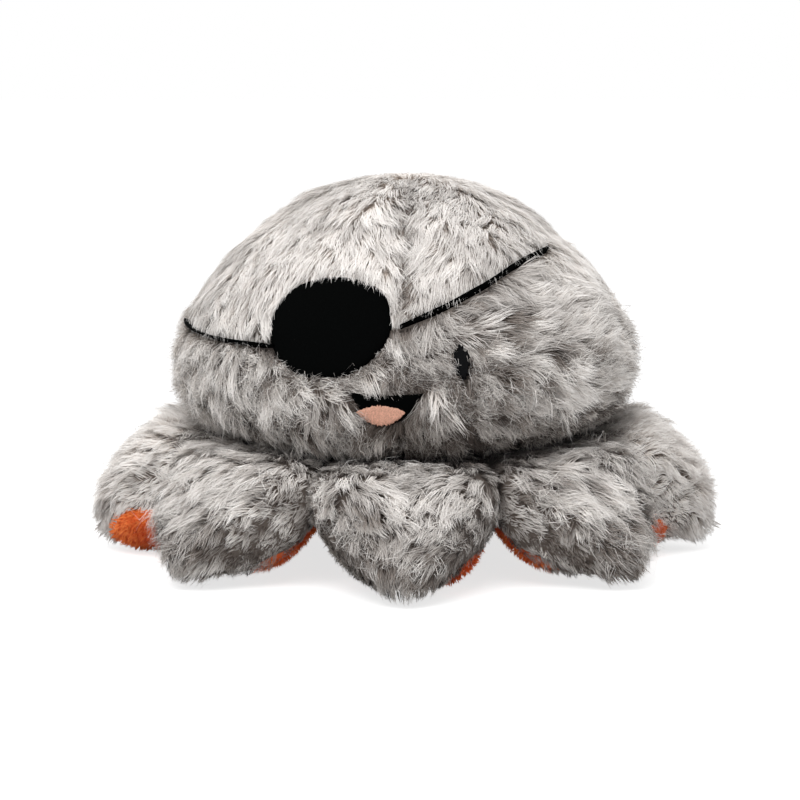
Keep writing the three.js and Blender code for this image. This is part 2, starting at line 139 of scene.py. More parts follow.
# Fur: strands grow in locks from a skin that lies below the frame's surface
HEAD_SKIN_DEPTH = 3.6 * MM
CROWN_SKIN_DEPTH = 1 * MM
CROWN_LUMPS = 0.8 * MM
LEG_SKIN_DEPTH = 4 * MM
LEG_SIDE_SKIN = 0.1 * MM
LEG_PARTING = (66 * MM, 84 * MM)
LEG_FUR_START = 47 * MM
SOLE_SKIN_DEPTH = 1.4 * MM
SOLE_EDGE_DEPTH = 4.4 * MM
SOLE_TUCK = (-3 * MM, 1 * MM)
SKIN_OVERLAP = 0.5 * MM
FUR_LENGTH = 10.5 * MM
LEG_FUR_LENGTH = 10 * MM
NAP_LENGTH = 2.2 * MM
LINING_NAP_LENGTH = 1.8 * MM
CLUMP_SPACING = 4.6 * MM
LEG_CLUMP_SPACING = 3.6 * MM
CLUMP_PULL = 0.42

# The grey hem hangs over the orange sole. It opens on one side of each leg, which the sign names,
# and past 1 the orange rises there too
HEM_OVERHANG = 6 * MM
FLANK_OVERHANG = 7 * MM
HEM_OPENINGS = [0.8, -0.65, -1.1, -0.6, 0.6, 0.6, 1.45, 0.65]
HEM_START = (62 * MM, 70 * MM)
HEM_FLANK = (94 * MM, 84 * MM)
SIDE_START = (0.05, 0.3)
SIDE_WIDENING = 0.25
SEAM_RISE = 9 * MM
HEM_WIDTH = 7 * MM
LOWEST_FACING = -0.93
FUR_FLOOR = 0.3 * MM
NAP_FLOOR = 0.1 * MM
# The right leg's fur stands up more, and painted light pales it
LEG_FLUFF_AND_LIGHT = {"right": 0.35}

# Leans from the normal at root and tip, in degrees, of fur that lies flat and of fur that stands up
FUR_LEANS = ((38, 96), (8, 62))
NAP_LEANS = ((15, 50), (15, 50))
FLATTEST = -0.6
RAISED_LENGTH = 0.52

# Styles of fur: long locks, loose hairs over them, short hairs round the face's features, and nap.
# The shares are where along a strand its points lie, and stretch and shade multiply what its place
# on the cloth gives it
LOCKS = {"spacing": 2.15 * MM, "strands": 16, "spread": 1.25 * MM, "width": 0.17 * MM, "pull": 0.3,
         "wobble": 0.02, "shares": (0, 0.34, 0.68, 1), "leans": FUR_LEANS, "stretch": 1, "shade": 1}
FRIZZ = {"spacing": 1.45 * MM, "strands": 6, "spread": 1.1 * MM, "width": 0.14 * MM, "pull": 0.1,
         "wobble": 0.15, "shares": (0, 0.4, 0.7, 1), "leans": FUR_LEANS, "stretch": 1.1, "shade": 0.15}
RIM = {**LOCKS, "spacing": 0.8 * MM, "strands": 3, "spread": 0.45 * MM, "width": 0.15 * MM,
       "pull": 0.1, "wobble": 0.04, "shares": (0, 0.4, 0.7, 1)}
NAP = {**LOCKS, "spacing": 1.1 * MM, "strands": 3, "spread": 0.6 * MM, "width": 0.28 * MM,
       "wobble": 0.03, "shares": (0, 0.5, 1), "leans": NAP_LEANS}
RIM_WIDTH = 2.4 * MM

# Stuffing and the grain of cloth and thread
WADDING_VOXEL = 2.5 * MM
WADDING_LUMPS = 12 * MM
GRAIN_SHADES = ((0.3, 0.75), (0.7, 1.25))
GRAIN_BUMP = 0.6

# What every lock varies by
CURL = 0.12
STRAY = 0.05
OWN_LENGTH = (0.72, 1.08)
LOCK_LENGTH = (0.75, 1.1)
LENGTH_NOISE = 0.12
ROLL = (9, 26)
RAISED_WOBBLE = 0.06
RAISED_LOOSENESS = 0.9
STRAND_TAPER = ((0, 0.4, 1), (1, 0.95, 0.3))
STRAND_WIDTHS = (1.25, 0.55)
SHADE_JITTER = (0.06, 0.1, 0.03)
FREE_WIDTH = 0.8 * MM
FRIZZ_YAW = 0.8
FRIZZ_LIFT = 0.4

# UV map: U holds the shade in bins, V the skin in its first band and the strands above it
SKIN_BAND = 0.05
# Heights over which the skin's painted shade in the crease fades out, and over which painted light pales
# it at the crown
SKIN_CREASE = (46 * MM, 60 * MM)
SKIN_CROWN = (78 * MM, 100 * MM)
LEG_SKIN_CREASE = (55 * MM, 70 * MM)
BAND_MARGIN = 0.004
STRAND_RISE = 0.944
SHADE_BINS = 32
BIN_MARGIN = 0.1

# Where the head's fur changes. Spots: azimuth, height, width and millimetres to a radian. Bands: the
# heights over which they set in. Flanks: the azimuths over which they do
SPOTS = {"face": (8, 72, 22, 75), "chin": (1, 54, 19, 60), "hollow": (-8, 85, 5, 75),
         "cheek": (28, 84, 17, 75), "wisp": (-35, 71, 5, 75)}
BANDS = {"low": (98, 66), "under": (64, 50), "crease": (60, 48), "high": (80, 95)}
FLANKS = {"left": (-35, -62), "right": (0, 25)}
SIDES = (55, 75)
SHOULDER = (62, 26, 104, 13)
SEAM_WIDTH = 3.2 * MM
SEAM_FADE = (6 * MM, 24 * MM)
SEAM_CLEFT = (math.radians(40), 0.7)

# How much each of them raises the fur and darkens it. The darkening under the head, in the crease and in
# the hollow is painted shade. In the seam it is partly the seam's short dark fur and partly painted shade
# in its dip, and at the chin partly dark fur and partly painted shade. Less frost at the chin, in the
# crease and under the head keeps the tips dark there, painted shade too
HEAD_LIFT = {"low": 0.75, "face": 0.45, "seam": 0.8, "sides": -0.4, "shoulder": 0.5}
HEAD_SHADE = {"seam": 0.6, "chin": 0.6, "face": 0.16, "under": 0.28, "cheek": 0.55, "crease": 0.4,
              "hollow": 0.4, "wisp": 0.5, "shoulder": -0.15}
HEAD_FROST = {"chin": -0.5, "crease": -0.5, "under": -0.15}
LEAST_FROST = 0.3

# How the fur lies on the head: azimuth, height and the direction east and down
HEAD_FLOW = [
    (-110, 90, 0, 1), (-73, 100, 0.2, 1), (-53, 106, 0.3, 0.9), (-35, 116, -0.2, 1),
    (-25, 102, 0.2, 0.9), (-12, 101, 0.4, 0.9), (-9, 110, 0.6, 0.8), (-57, 89, 0.5, 0.8),
    (-44, 90, 0.3, 0.9), (8, 114, -0.5, 0.9), (19, 111, -0.5, 0.8), (31, 107, -0.7, 0.7),
    (54, 108, -0.7, 0.6), (20, 101, -0.6, 0.8), (10, 97, -0.4, 0.9), (3, 93, -0.4, 0.9),
    (46, 119, -0.7, 0.7), (75, 110, -0.3, 0.9), (41, 92, 0.9, -0.3), (60, 87, 1, 0.2),
    (85, 92, 0.5, 0.8), (18, 89, 0.8, -0.6), (22, 80, 1, -0.3), (31, 83, 1, -0.2),
    (59, 76, 1, 0.3), (41, 70, 0.9, 0.3), (23, 68, 0.8, 0.6), (8, 73, 0.2, 1), (4, 79, 0.5, 0.9),
    (-3, 82, 0.5, 0.8), (41, 54, 0.9, 0.3), (24, 54, 0.7, 0.7), (61, 60, 1, 0.3), (5, 54, 0.4, 0.9),
    (-5, 52, 0, 1), (11, 64, 0.8, 0.6), (-69, 70, 0.7, 0.7), (-56, 75, 0.7, 0.7), (-44, 71, 0.8, 0.6),
    (-32, 67, 0.9, 0.5), (-23, 65, 1, 0.1), (-15, 64, 0.9, 0.5), (-26, 58, 0.8, 0.5),
    (-63, 56, 0.9, 0.3), (-7, 69, 0.6, 0.8), (110, 90, 0.1, 1), (180, 60, 0, 1), (180, 110, 0.1, 1),
    (145, 80, 0.2, 1), (-145, 80, -0.2, 1),
]
FLOW_RADIUS = 60 * MM
FLOW_BLEND = 6 * MM

# Steps of the outline and the surfaces
OUTLINE_STEPS = 60
GORE_COLUMNS = 40
GORE_ROWS = 60
LINING_COLUMNS = 145
LINING_WALL_ROWS = 24
LINING_DOME_ROWS = 20


def unit(vectors):
    return vectors / np.maximum(np.linalg.norm(vectors, axis=-1, keepdims=True), 1e-12)


def smoothstep(x, low, high):
    t = np.clip((x - low) / (high - low), 0, 1)
    return t * t * (3 - 2 * t)


def rotated(x, y, angle):
    c, s = math.cos(angle), math.sin(angle)
    return x * c - y * s, x * s + y * c


def turned_out(points, angle):
    """Points turned about the upright axis."""
    return np.stack([*rotated(points[..., 0], points[..., 1], angle), points[..., 2]], -1)


def cell_corners(values):
    """What the four corners of each cell of a grid hold, going round the cell."""
    return values[:-1, :-1], values[1:, :-1], values[1:, 1:], values[:-1, 1:]


def cell_mean(values):
    a, b, c, d = cell_corners(values)
    return (a + b + d + c) / 4


def linked(name, data):
    """An object made from its data and put into the scene."""
    piece = bpy.data.objects.new(name, data)
    bpy.context.scene.collection.objects.link(piece)
    return piece


def seam_share(azimuth, seams):
    """How far the cloth dips at its seams, from 1 on a seam to 0 between two of them."""
    return np.cos(azimuth * seams / 2) ** (2 * SEAM_NARROWNESS)


def head_outline():
    """The head's outline from crown to neck: radius, height, seam share and length so far."""
    turn = np.linspace(0, math.pi / 2, OUTLINE_STEPS + 1)
    rise = (HEAD_TOP - HEAD_WIDEST) * np.cos(turn).clip(0) ** (2 / HEAD_FULLNESS)
    dome = np.stack([HEAD_RADIUS * np.sin(turn), HEAD_WIDEST + rise, np.sin(turn)], 1)
    t = np.linspace(0, 1, OUTLINE_STEPS + 1)[1:, None]
    corners = np.array([
        (HEAD_RADIUS, HEAD_WIDEST), (HEAD_RADIUS, HEAD_WIDEST - CHEEK_LENGTH),
        (HEAD_RADIUS - CHEEK_TURN_INSET, CHEEK_TURN_HEIGHT), (NECK_RADIUS, NECK_HEIGHT),
    ])
    weights = [(1 - t) ** 3, 3 * t * (1 - t) ** 2, 3 * t * t * (1 - t), t**3]
    cheek = sum(weight * corner for weight, corner in zip(weights, corners))
    outline = np.concatenate([dome, np.concatenate([cheek, 1 - t * t], 1)])
    steps = np.linalg.norm(np.diff(outline[:, :2], axis=0), axis=1)
    return outline, np.concatenate([[0], np.cumsum(steps)])


OUTLINE, OUTLINE_LENGTHS = head_outline()
OUTLINE_LENGTH = OUTLINE_LENGTHS[-1]


def distance_at(height):
    """The distance along the outline from the crown at a height."""
    return np.interp(-height, -OUTLINE[:, 1], OUTLINE_LENGTHS)


def outline_at(distance):
    """The outline's radius, height and seam share at distances from the crown."""
    return [np.interp(distance, OUTLINE_LENGTHS, column) for column in OUTLINE.T]


def between_heights(distance, *heights):
    """Sets in along the outline between two heights in millimetres."""
    return smoothstep(distance, *distance_at(np.array(heights) * MM))


def radius_at(distance):
    return outline_at(distance)[0]


def height_at(distance):
    return outline_at(distance)[1]


def leaned(points):
    """Points of the upright head, leaned forward on the neck."""
    y, z = rotated(points[..., 1], points[..., 2] - NECK_HEIGHT, HEAD_LEAN)
    return np.stack([points[..., 0], y, z + NECK_HEIGHT], -1)


def on_head(azimuth, distance, depth):
    """Points on the head at azimuths in radians and distances from the crown, below the fur tips."""
    radius, height, dip = outline_at(distance)
    ahead, behind = (outline_at(distance + step)[:2] for step in (0.5 * MM, -0.5 * MM))
    tangent = unit(np.stack([ahead[0] - behind[0], ahead[1] - behind[1]], -1))
    sunk = radius - SEAM_DIP * dip * seam_share(azimuth, len(GORES)) + depth * tangent[..., 1]
    sunk = np.maximum(sunk, 0)
    level = height - depth * tangent[..., 0] + 0 * sunk
    return leaned(np.stack([sunk * np.sin(azimuth), -sunk * np.cos(azimuth), level], -1))


def noise(points, scale, seed):
    """Smooth noise from about -1 to 1, made of waves about scale long."""
    rng = np.random.default_rng(seed)
    directions = unit(rng.normal(size=(9, 3))) * rng.uniform(0.7, 1.4, (9, 1))
    phases = rng.uniform(0, 2 * math.pi, 9)
    return np.sin(points @ directions.T * (2 * math.pi / scale) + phases).sum(-1) / 3


class Mesh:
    """Points and faces with their UV corners, gathered before they become one object."""

    def __init__(self):
        self.points, self.corners, self.uvs, self.sizes, self.count = [], [], [], [], 0

    def add(self, points, *faces):
        """Adds points, and the faces among them as pairs of corner numbers and UV corners."""
        for corners, uvs in faces:
            self.corners.append(corners.ravel() + self.count)
            self.sizes.append(np.full(corners.size // corners.shape[-1], corners.shape[-1]))
            self.uvs.append(uvs.reshape(-1, 2))
        self.points.append(points.reshape(-1, 3))
        self.count += len(self.points[-1])

    def add_grid(self, grid, keep=None, levels=None, wrap=False):
        """A grid of points as quads, with its UV map evenly across and at a level of V for each row."""
        rows, columns = grid.shape[:2]
        index = np.arange(rows * columns).reshape(rows, columns)
        if wrap:
            index = np.concatenate([index, index[:, :1]], 1)
        levels = np.linspace(0, 1, rows) if levels is None else levels
        uvs = np.stack(np.meshgrid(np.linspace(0, 1, index.shape[1]), levels), -1)
        quads, uvs = np.stack(cell_corners(index), 2), np.stack(cell_corners(uvs), 2)
        self.add(grid, (quads, uvs) if keep is None else (quads[keep], uvs[keep]))

    def build(self, name, material):
        mesh = bpy.data.meshes.new(name)
        corners, sizes = np.concatenate(self.corners), np.concatenate(self.sizes)
        mesh.vertices.add(self.count)
        mesh.loops.add(len(corners))
        mesh.polygons.add(len(sizes))
        mesh.vertices.foreach_set("co", np.concatenate(self.points).astype(np.float32).ravel())
        mesh.loops.foreach_set("vertex_index", corners.astype(np.int32))
        mesh.polygons.foreach_set("loop_start", (np.cumsum(sizes) - sizes).astype(np.int32))
        layer = mesh.uv_layers.new(name=UV_MAP)
        layer.uv.foreach_set("vector", np.concatenate(self.uvs).astype(np.float32).ravel())
        mesh.update(calc_edges=True)
        mesh.polygons.foreach_set("use_smooth", np.ones(len(sizes), bool))
        mesh.materials.append(material)
        return linked(name, mesh)


def on_head_body(piece, node):
    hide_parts(node)
    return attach(piece, "head")


def skin_levels(places, crease, crown=0):
    """The skin's levels of V: painted shade in the crease between head and legs, painted light at the
    crown.
    """
    rise = 0.2 + 0.35 * smoothstep(places, *crease) + 0.4 * crown
    return SKIN_BAND * (rise + np.linspace(0, 0.05, len(places)))


def scatter(grid, keep, spacing, rng):
    """Points spread over the kept cells of a grid: place, outward normal, direction down the rows and
    row and column as real numbers."""
    p00, p10, p11, p01 = cell_corners(grid)
    area = np.linalg.norm(np.cross(p11 - p00, p01 - p10), axis=-1) / 2 * keep
    total = np.cumsum(area.ravel())
    count = int(total[-1] / spacing**2)
    cells = np.searchsorted(total, (np.arange(count) + rng.random(count)) / count * total[-1])
    i, j = np.divmod(cells, area.shape[1])
    u, v = rng.random((2, count, 1))
    a, b, c, d = p00[i, j], p10[i, j], p01[i, j], p11[i, j]
    place = (a * (1 - u) + b * u) * (1 - v) + (c * (1 - u) + d * u) * v
    along = (b - a) * (1 - v) + (d - c) * v
    across = (c - a) * (1 - u) + (d - b) * u
    normal = unit(np.cross(along, across))
    return place, normal, unit(along), i + u[:, 0], j + v[:, 0]


def clumped(rng, places, spacing, clump):
    """Shares the locks out among clumps. Gives each lock's way to its clump's middle, how much of a
    clump that is, and a function that draws a value for every clump."""
    count = max(1, int(len(places) * (spacing / clump) ** 2))
    middles = places[rng.choice(len(places), count, replace=False)]
    nearest = ((places[:, None] - middles) ** 2).sum(-1).argmin(1)
    way = middles[nearest] - places
    return way, np.linalg.norm(way, axis=1) / clump, lambda width: rng.normal(0, width, count)[nearest]


def new_fur(place, normal, comb):
    """Fur at its roots, with its length, shade and lean still to be set."""
    count = len(place)
    return SimpleNamespace(
        place=place, normal=normal, comb=comb, length=np.zeros(count), shade=np.zeros(count),
        lift=np.zeros(count), gather=np.zeros((count, 3)), room=np.ones(count),
        frost=np.ones(count), alive=np.ones(count, bool),
    )


def strand_uvs(shades, frost, shares):
    """UV corners of the strands' quads and tips: U is a strand's shade, V runs from root to tip."""
    u0 = (np.floor(shades * SHADE_BINS) + BIN_MARGIN) / SHADE_BINS
    u1 = u0 + (1 - 2 * BIN_MARGIN) / SHADE_BINS
    v = [SKIN_BAND + BAND_MARGIN + share * STRAND_RISE * frost for share in shares]
    corners = [[(u0, low), (u1, low), (u1, high), (u0, high)] for low, high in zip(v[:-2], v[1:-1])]
    quads = np.array(corners).transpose(3, 0, 1, 2)
    tips = np.array([(u0, v[-2]), (u1, v[-2]), ((u0 + u1) / 2, v[-1])]).transpose(2, 0, 1)
    return quads, tips


def grow(mesh, rng, fur, style, floor=-1):
    """Adds a lock of strands at each root that is alive. A lock leans over along its comb, less where
    it is lifted, keeps within its room beside a feature and is as pale at its tip as its frost."""
    fur = SimpleNamespace(**{key: values[fur.alive] for key, values in vars(fur).items()})
    count, strands, shares = len(fur.place), style["strands"], style["shares"]
    lift = np.clip(fur.lift, FLATTEST, 1)[:, None, None]
    raised = lift.clip(0)
    calm = np.clip(fur.room / FREE_WIDTH, 0.1, 1)
    root, normal, comb = fur.place[:, None], fur.normal[:, None], fur.comb[:, None]
    side = unit(np.cross(fur.normal, fur.comb))[:, None]
    curl = (rng.normal(0, CURL, count) * calm)[:, None, None]
    turn = rng.uniform(0, 2 * math.pi, (count, strands, 1))
    reach = np.sqrt(rng.random((count, strands, 1))) * style["spread"] * 1.5
    reach = np.minimum(reach, fur.room[:, None, None])
    calm = calm[:, None, None]
    length = (fur.length * style["stretch"])[:, None, None]
    length = length * rng.uniform(*OWN_LENGTH, (count, strands, 1))
    stray = rng.normal(0, STRAY, (count, strands, 3)) * (1 + lift) * calm
    roll = rng.normal(0, 1, (count, strands, 1)) * np.radians(ROLL[0] + ROLL[1] * raised)
    offset = np.cos(turn) * reach * comb + np.sin(turn) * reach * side
    frizz = style["wobble"] + RAISED_WOBBLE * raised
    flat, upright = np.radians(style["leans"])
    root_lean, tip_lean = (flat[k] + (upright[k] - flat[k]) * lift for k in range(2))
    lines, up, ahead, before = [], 0, 0, 0
    for share in shares:
        lean = root_lean + (tip_lean - root_lean) * (share + before) / 2
        up, ahead = up + np.cos(lean) * (share - before), ahead + np.sin(lean) * (share - before)
        before = share
        line = root + length * (up * normal + ahead * comb + curl * share**2 * side + stray * share)
        line += offset * (1 - style["pull"] * share**0.8 * (1 - RAISED_LOOSENESS * raised))
        line += fur.gather[:, None] * share
        if share:
            line += length * frizz * rng.normal(size=line.shape) * calm
        lines.append(line)
    axis = unit(lines[-1] - lines[0])
    across = unit(np.cross(axis, normal + 0 * axis))
    edge = across * np.cos(roll) + np.cross(axis, across) * np.sin(roll)
    widths = np.interp(shares[:-1], *STRAND_TAPER) * style["width"] / 2
    edge = edge * (STRAND_WIDTHS[0] - STRAND_WIDTHS[1] * raised)
    sides = [line + sign * edge * half for line, half in zip(lines, widths) for sign in (-1, 1)]
    points = np.stack([*sides, lines[-1]], 2)
    points[..., 2] = np.maximum(points[..., 2], floor)
    size = points.shape[2]
    base = np.arange(count * strands)[:, None, None] * size
    quads = base + np.array([[k, k + 1, k + 3, k + 2] for k in range(0, size - 3, 2)])
    triangles = base + np.array([[size - 3, size - 2, size - 1]])
    jitter = (SHADE_JITTER[0] + SHADE_JITTER[1] * lift[..., 0]).clip(SHADE_JITTER[2])
    shades = (fur.shade * style["shade"])[:, None] + jitter * rng.normal(size=(count, strands))
    shades = np.clip(shades, 0, 0.999).ravel()
    quad_uvs, tip_uvs = strand_uvs(shades, np.repeat(fur.frost, strands), shares)
    mesh.add(points, (quads, quad_uvs), (triangles, tip_uvs))


# Outlines of the face's features, as across and up round their middles
def ellipse_outline(feature):
    turn = np.arange(LAID_POINTS) / LAID_POINTS * 2 * math.pi
    x, y = feature["width"] / 2 * np.cos(turn), feature["length"] / 2 * np.sin(turn)
    return rotated(x, y, feature["tilt"])


def stitched_outline(feature):
    """An embroidered edge, whose stitches end a little past or short of one another."""
    x, y = ellipse_outline(feature)
    rng = np.random.default_rng(600)
    ends = rng.uniform(1 - STITCH_UNEVEN, 1 + 0.3 * STITCH_UNEVEN, LAID_POINTS // 2)
    return x * np.repeat(ends, 2), y * np.repeat(ends, 2)


def lens_outline(feature):
    turn = np.arange(LAID_POINTS) / LAID_POINTS * 2 * math.pi
    wave = np.sin(turn) * np.abs(np.sin(turn))
    y = np.where(wave > 0, feature["rise"], feature["drop"]) * wave
    return feature["width"] / 2 * np.cos(turn), y


def outside(feature, azimuth, distance):
    """Signed distance to a feature's edge, positive outside it."""
    x = (azimuth - feature["azimuth"]) * np.maximum(radius_at(distance), MM)
    y = distance_at(feature["height"]) - distance
    ox, oy = ellipse_outline(feature) if "length" in feature else lens_outline(feature)
    far = np.sqrt(((x[:, None] - ox) ** 2 + (y[:, None] - oy) ** 2).min(1))
    if "length" in feature:
        u, v = rotated(x, y, -feature["tilt"])
        inside = (u / feature["width"]) ** 2 + (v / feature["length"]) ** 2 < 0.25
    else:
        room = np.clip(1 - (2 * x / feature["width"]) ** 2, 0, None)
        inside = (y < feature["rise"] * room) & (y > -feature["drop"] * room) & (room > 0)
    return np.where(inside, -far, far)


def strap_route(places, gap):
    """The strap's middle as azimuths and distances, a smooth curve through its places. It starts at a
    gap from the patch, where the fur has closed over it."""
    points = np.array([(math.radians(azimuth), distance_at(height)) for azimuth, height in places])
    t = np.linspace(0, len(points) - 1, STRAP_STEPS)
    i = np.clip(t.astype(int), 0, len(points) - 2)
    f = (t - i)[:, None]
    before, after = points[np.maximum(i - 1, 0)], points[np.minimum(i + 2, len(points) - 1)]
    a, b = points[i], points[i + 1]
    curve = (2 * f**3 - 3 * f**2 + 1) * a + (f**3 - 2 * f**2 + f) * (b - before) / 2
    route = (curve + (3 * f**2 - 2 * f**3) * b + (f**3 - f**2) * (after - a) / 2).T
    return route[:, outside(PATCH, *route) > gap]


STRAP_ROUTES = {name: strap_route(places, PATCH_GAPS[name]) for name, places in STRAPS.items()}


def outside_strap(name, azimuth, distance):
    """Distance to a strap's edge, as far as it lies on the fur. Past that the fur closes over it."""
    route = STRAP_ROUTES[name][:, STRAP_ROUTES[name][0] < STRAP_SINKS]
    across = (azimuth[:, None] - route[0]) * np.maximum(radius_at(distance), MM)[:, None]
    up = distance[:, None] - route[1]
    return np.sqrt((across**2 + up**2).min(1)) - STRAP_SHOWN[name] / 2


# The mouth as far as the tongue leaves it bare of fur
OPEN_MOUTH = dict(MOUTH, drop=MOUTH["drop"] - MOUTH_COVERED)

# Each feature of the face: how far a place lies outside it, how far the fur may lie over its edge, and
# whether dark fur stands up round it
FACE = [
    (partial(outside, PATCH), 0.4 * MM, False),
    (partial(outside, EYE), 0.8 * MM, True),
    (partial(outside, OPEN_MOUTH), -0.5 * MM, True),
    (partial(outside_strap, "strap_left"), -0.45 * MM, True),
    (partial(outside_strap, "strap_right"), -0.45 * MM, True),
]
BARE_EDGE = 0.25 * MM
WIDE_BARE_EDGE = 0.5 * MM
FRIZZ_CLEARANCE = 2.2 * MM
SHORTEST = 0.5 * MM
FRINGE_WIDTH = 2.6 * MM
FRINGE_DROP = 8 * MM
RIM_FADE = 1.6 * MM
GATHER_FADE = 6 * MM


def head_flow(azimuth, distance):
    """How the fur lies, as shares east and down, blended from the nearest listed directions."""
    height = height_at(distance)
    flow = np.array(HEAD_FLOW, float)
    turn = azimuth[:, None] - np.radians(flow[:, 0])
    turn = (turn + math.pi) % (2 * math.pi) - math.pi
    far = (turn * FLOW_RADIUS) ** 2 + (height[:, None] - flow[:, 1] * MM) ** 2
    weight = 1 / (far + FLOW_BLEND**2) ** 1.5
    east = (weight * flow[:, 2]).sum(1) / weight.sum(1)
    down = (weight * flow[:, 3]).sum(1) / weight.sum(1)
    return east, down


def turned(combs, normals, angles):
    """Directions turned about their normals."""
    side = np.cross(normals, combs)
    return combs * np.cos(angles)[:, None] + side * np.sin(angles)[:, None]


def near(distance, width):
    """1 at a place, falling to 0 some widths away from it."""
    return np.exp(-((distance / width) ** 2))


def weighed(parts, weights):
    return sum(weight * parts[name] for name, weight in weights.items())


def head_parts(az, distance, height):
    """How far each named part of the head holds at places on it, from 0 to 1."""
    turn, high, parts = np.degrees(az), height / MM, {}
    for name, (azimuth, middle, width, to_radian) in SPOTS.items():
        parts[name] = near(np.hypot((az - math.radians(azimuth)) * to_radian, high - middle), width)
    for name, band in BANDS.items():
        parts[name] = smoothstep(high, *band)
    for name, flank in FLANKS.items():
        parts[name] = smoothstep(turn, *flank)
    # The crease's painted shade lies only on the right, away from the lamp
    parts["crease"] = parts["crease"] * parts["right"]
    parts["sides"] = smoothstep(np.abs(turn), *SIDES)
    azimuth, reach, middle, width = SHOULDER
    parts["shoulder"] = near(turn - azimuth, reach) * near(high - middle, width)
    quarter = 2 * math.pi / len(GORES)
    radius = radius_at(distance)
    from_seam = np.abs((az + quarter / 2) % quarter - quarter / 2) * radius
    cleft = near(az, SEAM_CLEFT[0]) * SEAM_CLEFT[1] + 1 - SEAM_CLEFT[1]
    parts["seam"] = near(from_seam, SEAM_WIDTH) * parts["high"] * cleft * smoothstep(radius, *SEAM_FADE)
    return parts


def open_face(fur, az, distance, east, down, style, rng):
    """Trims the fur round the features of the face, and darkens and raises it there."""
    from_patch = np.maximum(outside(PATCH, az, distance), 0)
    patch_middle = distance_at(PATCH["height"])
    lower = smoothstep(distance, patch_middle, patch_middle + FRINGE_DROP)
    fringe = near(from_patch, FRINGE_WIDTH) * lower
    fur.shade += 0.35 * fringe
    fur.length *= 1 - 0.4 * fringe
    fur.lift += 0.5 * fringe
    east_step = (fur.comb * east).sum(1) * MM / np.maximum(radius_at(distance), MM)
    down_step = (fur.comb * down).sum(1) * MM
    rim = 0
    for clear, overlap, rimmed in FACE:
        here = clear(az, distance)
        ahead = clear(az + east_step, distance + down_step)
        approach = np.clip((here - ahead) / MM, 0.05, 1)
        fur.gather = fur.gather * smoothstep(here, 0, GATHER_FADE)[:, None]
        fur.room = np.minimum(fur.room, np.maximum(0.6 * here, 0.15 * MM))
        cover = overlap * rng.uniform(0.6, 1.4, len(az))
        if style is FRIZZ and overlap < 0:
            fur.alive &= here > FRIZZ_CLEARANCE
            cover = cover - 2 * MM
        elif style is FRIZZ:
            cover = cover + 0.8 * MM * rng.random(len(az)) * between_heights(distance, 90, 78)
        reach = (np.maximum(here, 0) + cover) / approach / 0.8
        fur.length = np.minimum(fur.length, np.maximum(reach, SHORTEST))
        fur.alive &= here > (BARE_EDGE if overlap > 0 else WIDE_BARE_EDGE)
        if rimmed:
            rim = np.maximum(rim, near(np.maximum(here, 0), RIM_FADE))
    fur.shade += 0.45 * rim + 0.25 * near(from_patch, 1.5 * MM)
    fur.lift += 0.8 * rim


def uneven(length, places, seed, rng):
    """Lengths that vary from region to region and from lock to lock."""
    length = length * (1 + LENGTH_NOISE * noise(places, 20 * MM, seed))
    return length * rng.uniform(*LOCK_LENGTH, len(places))


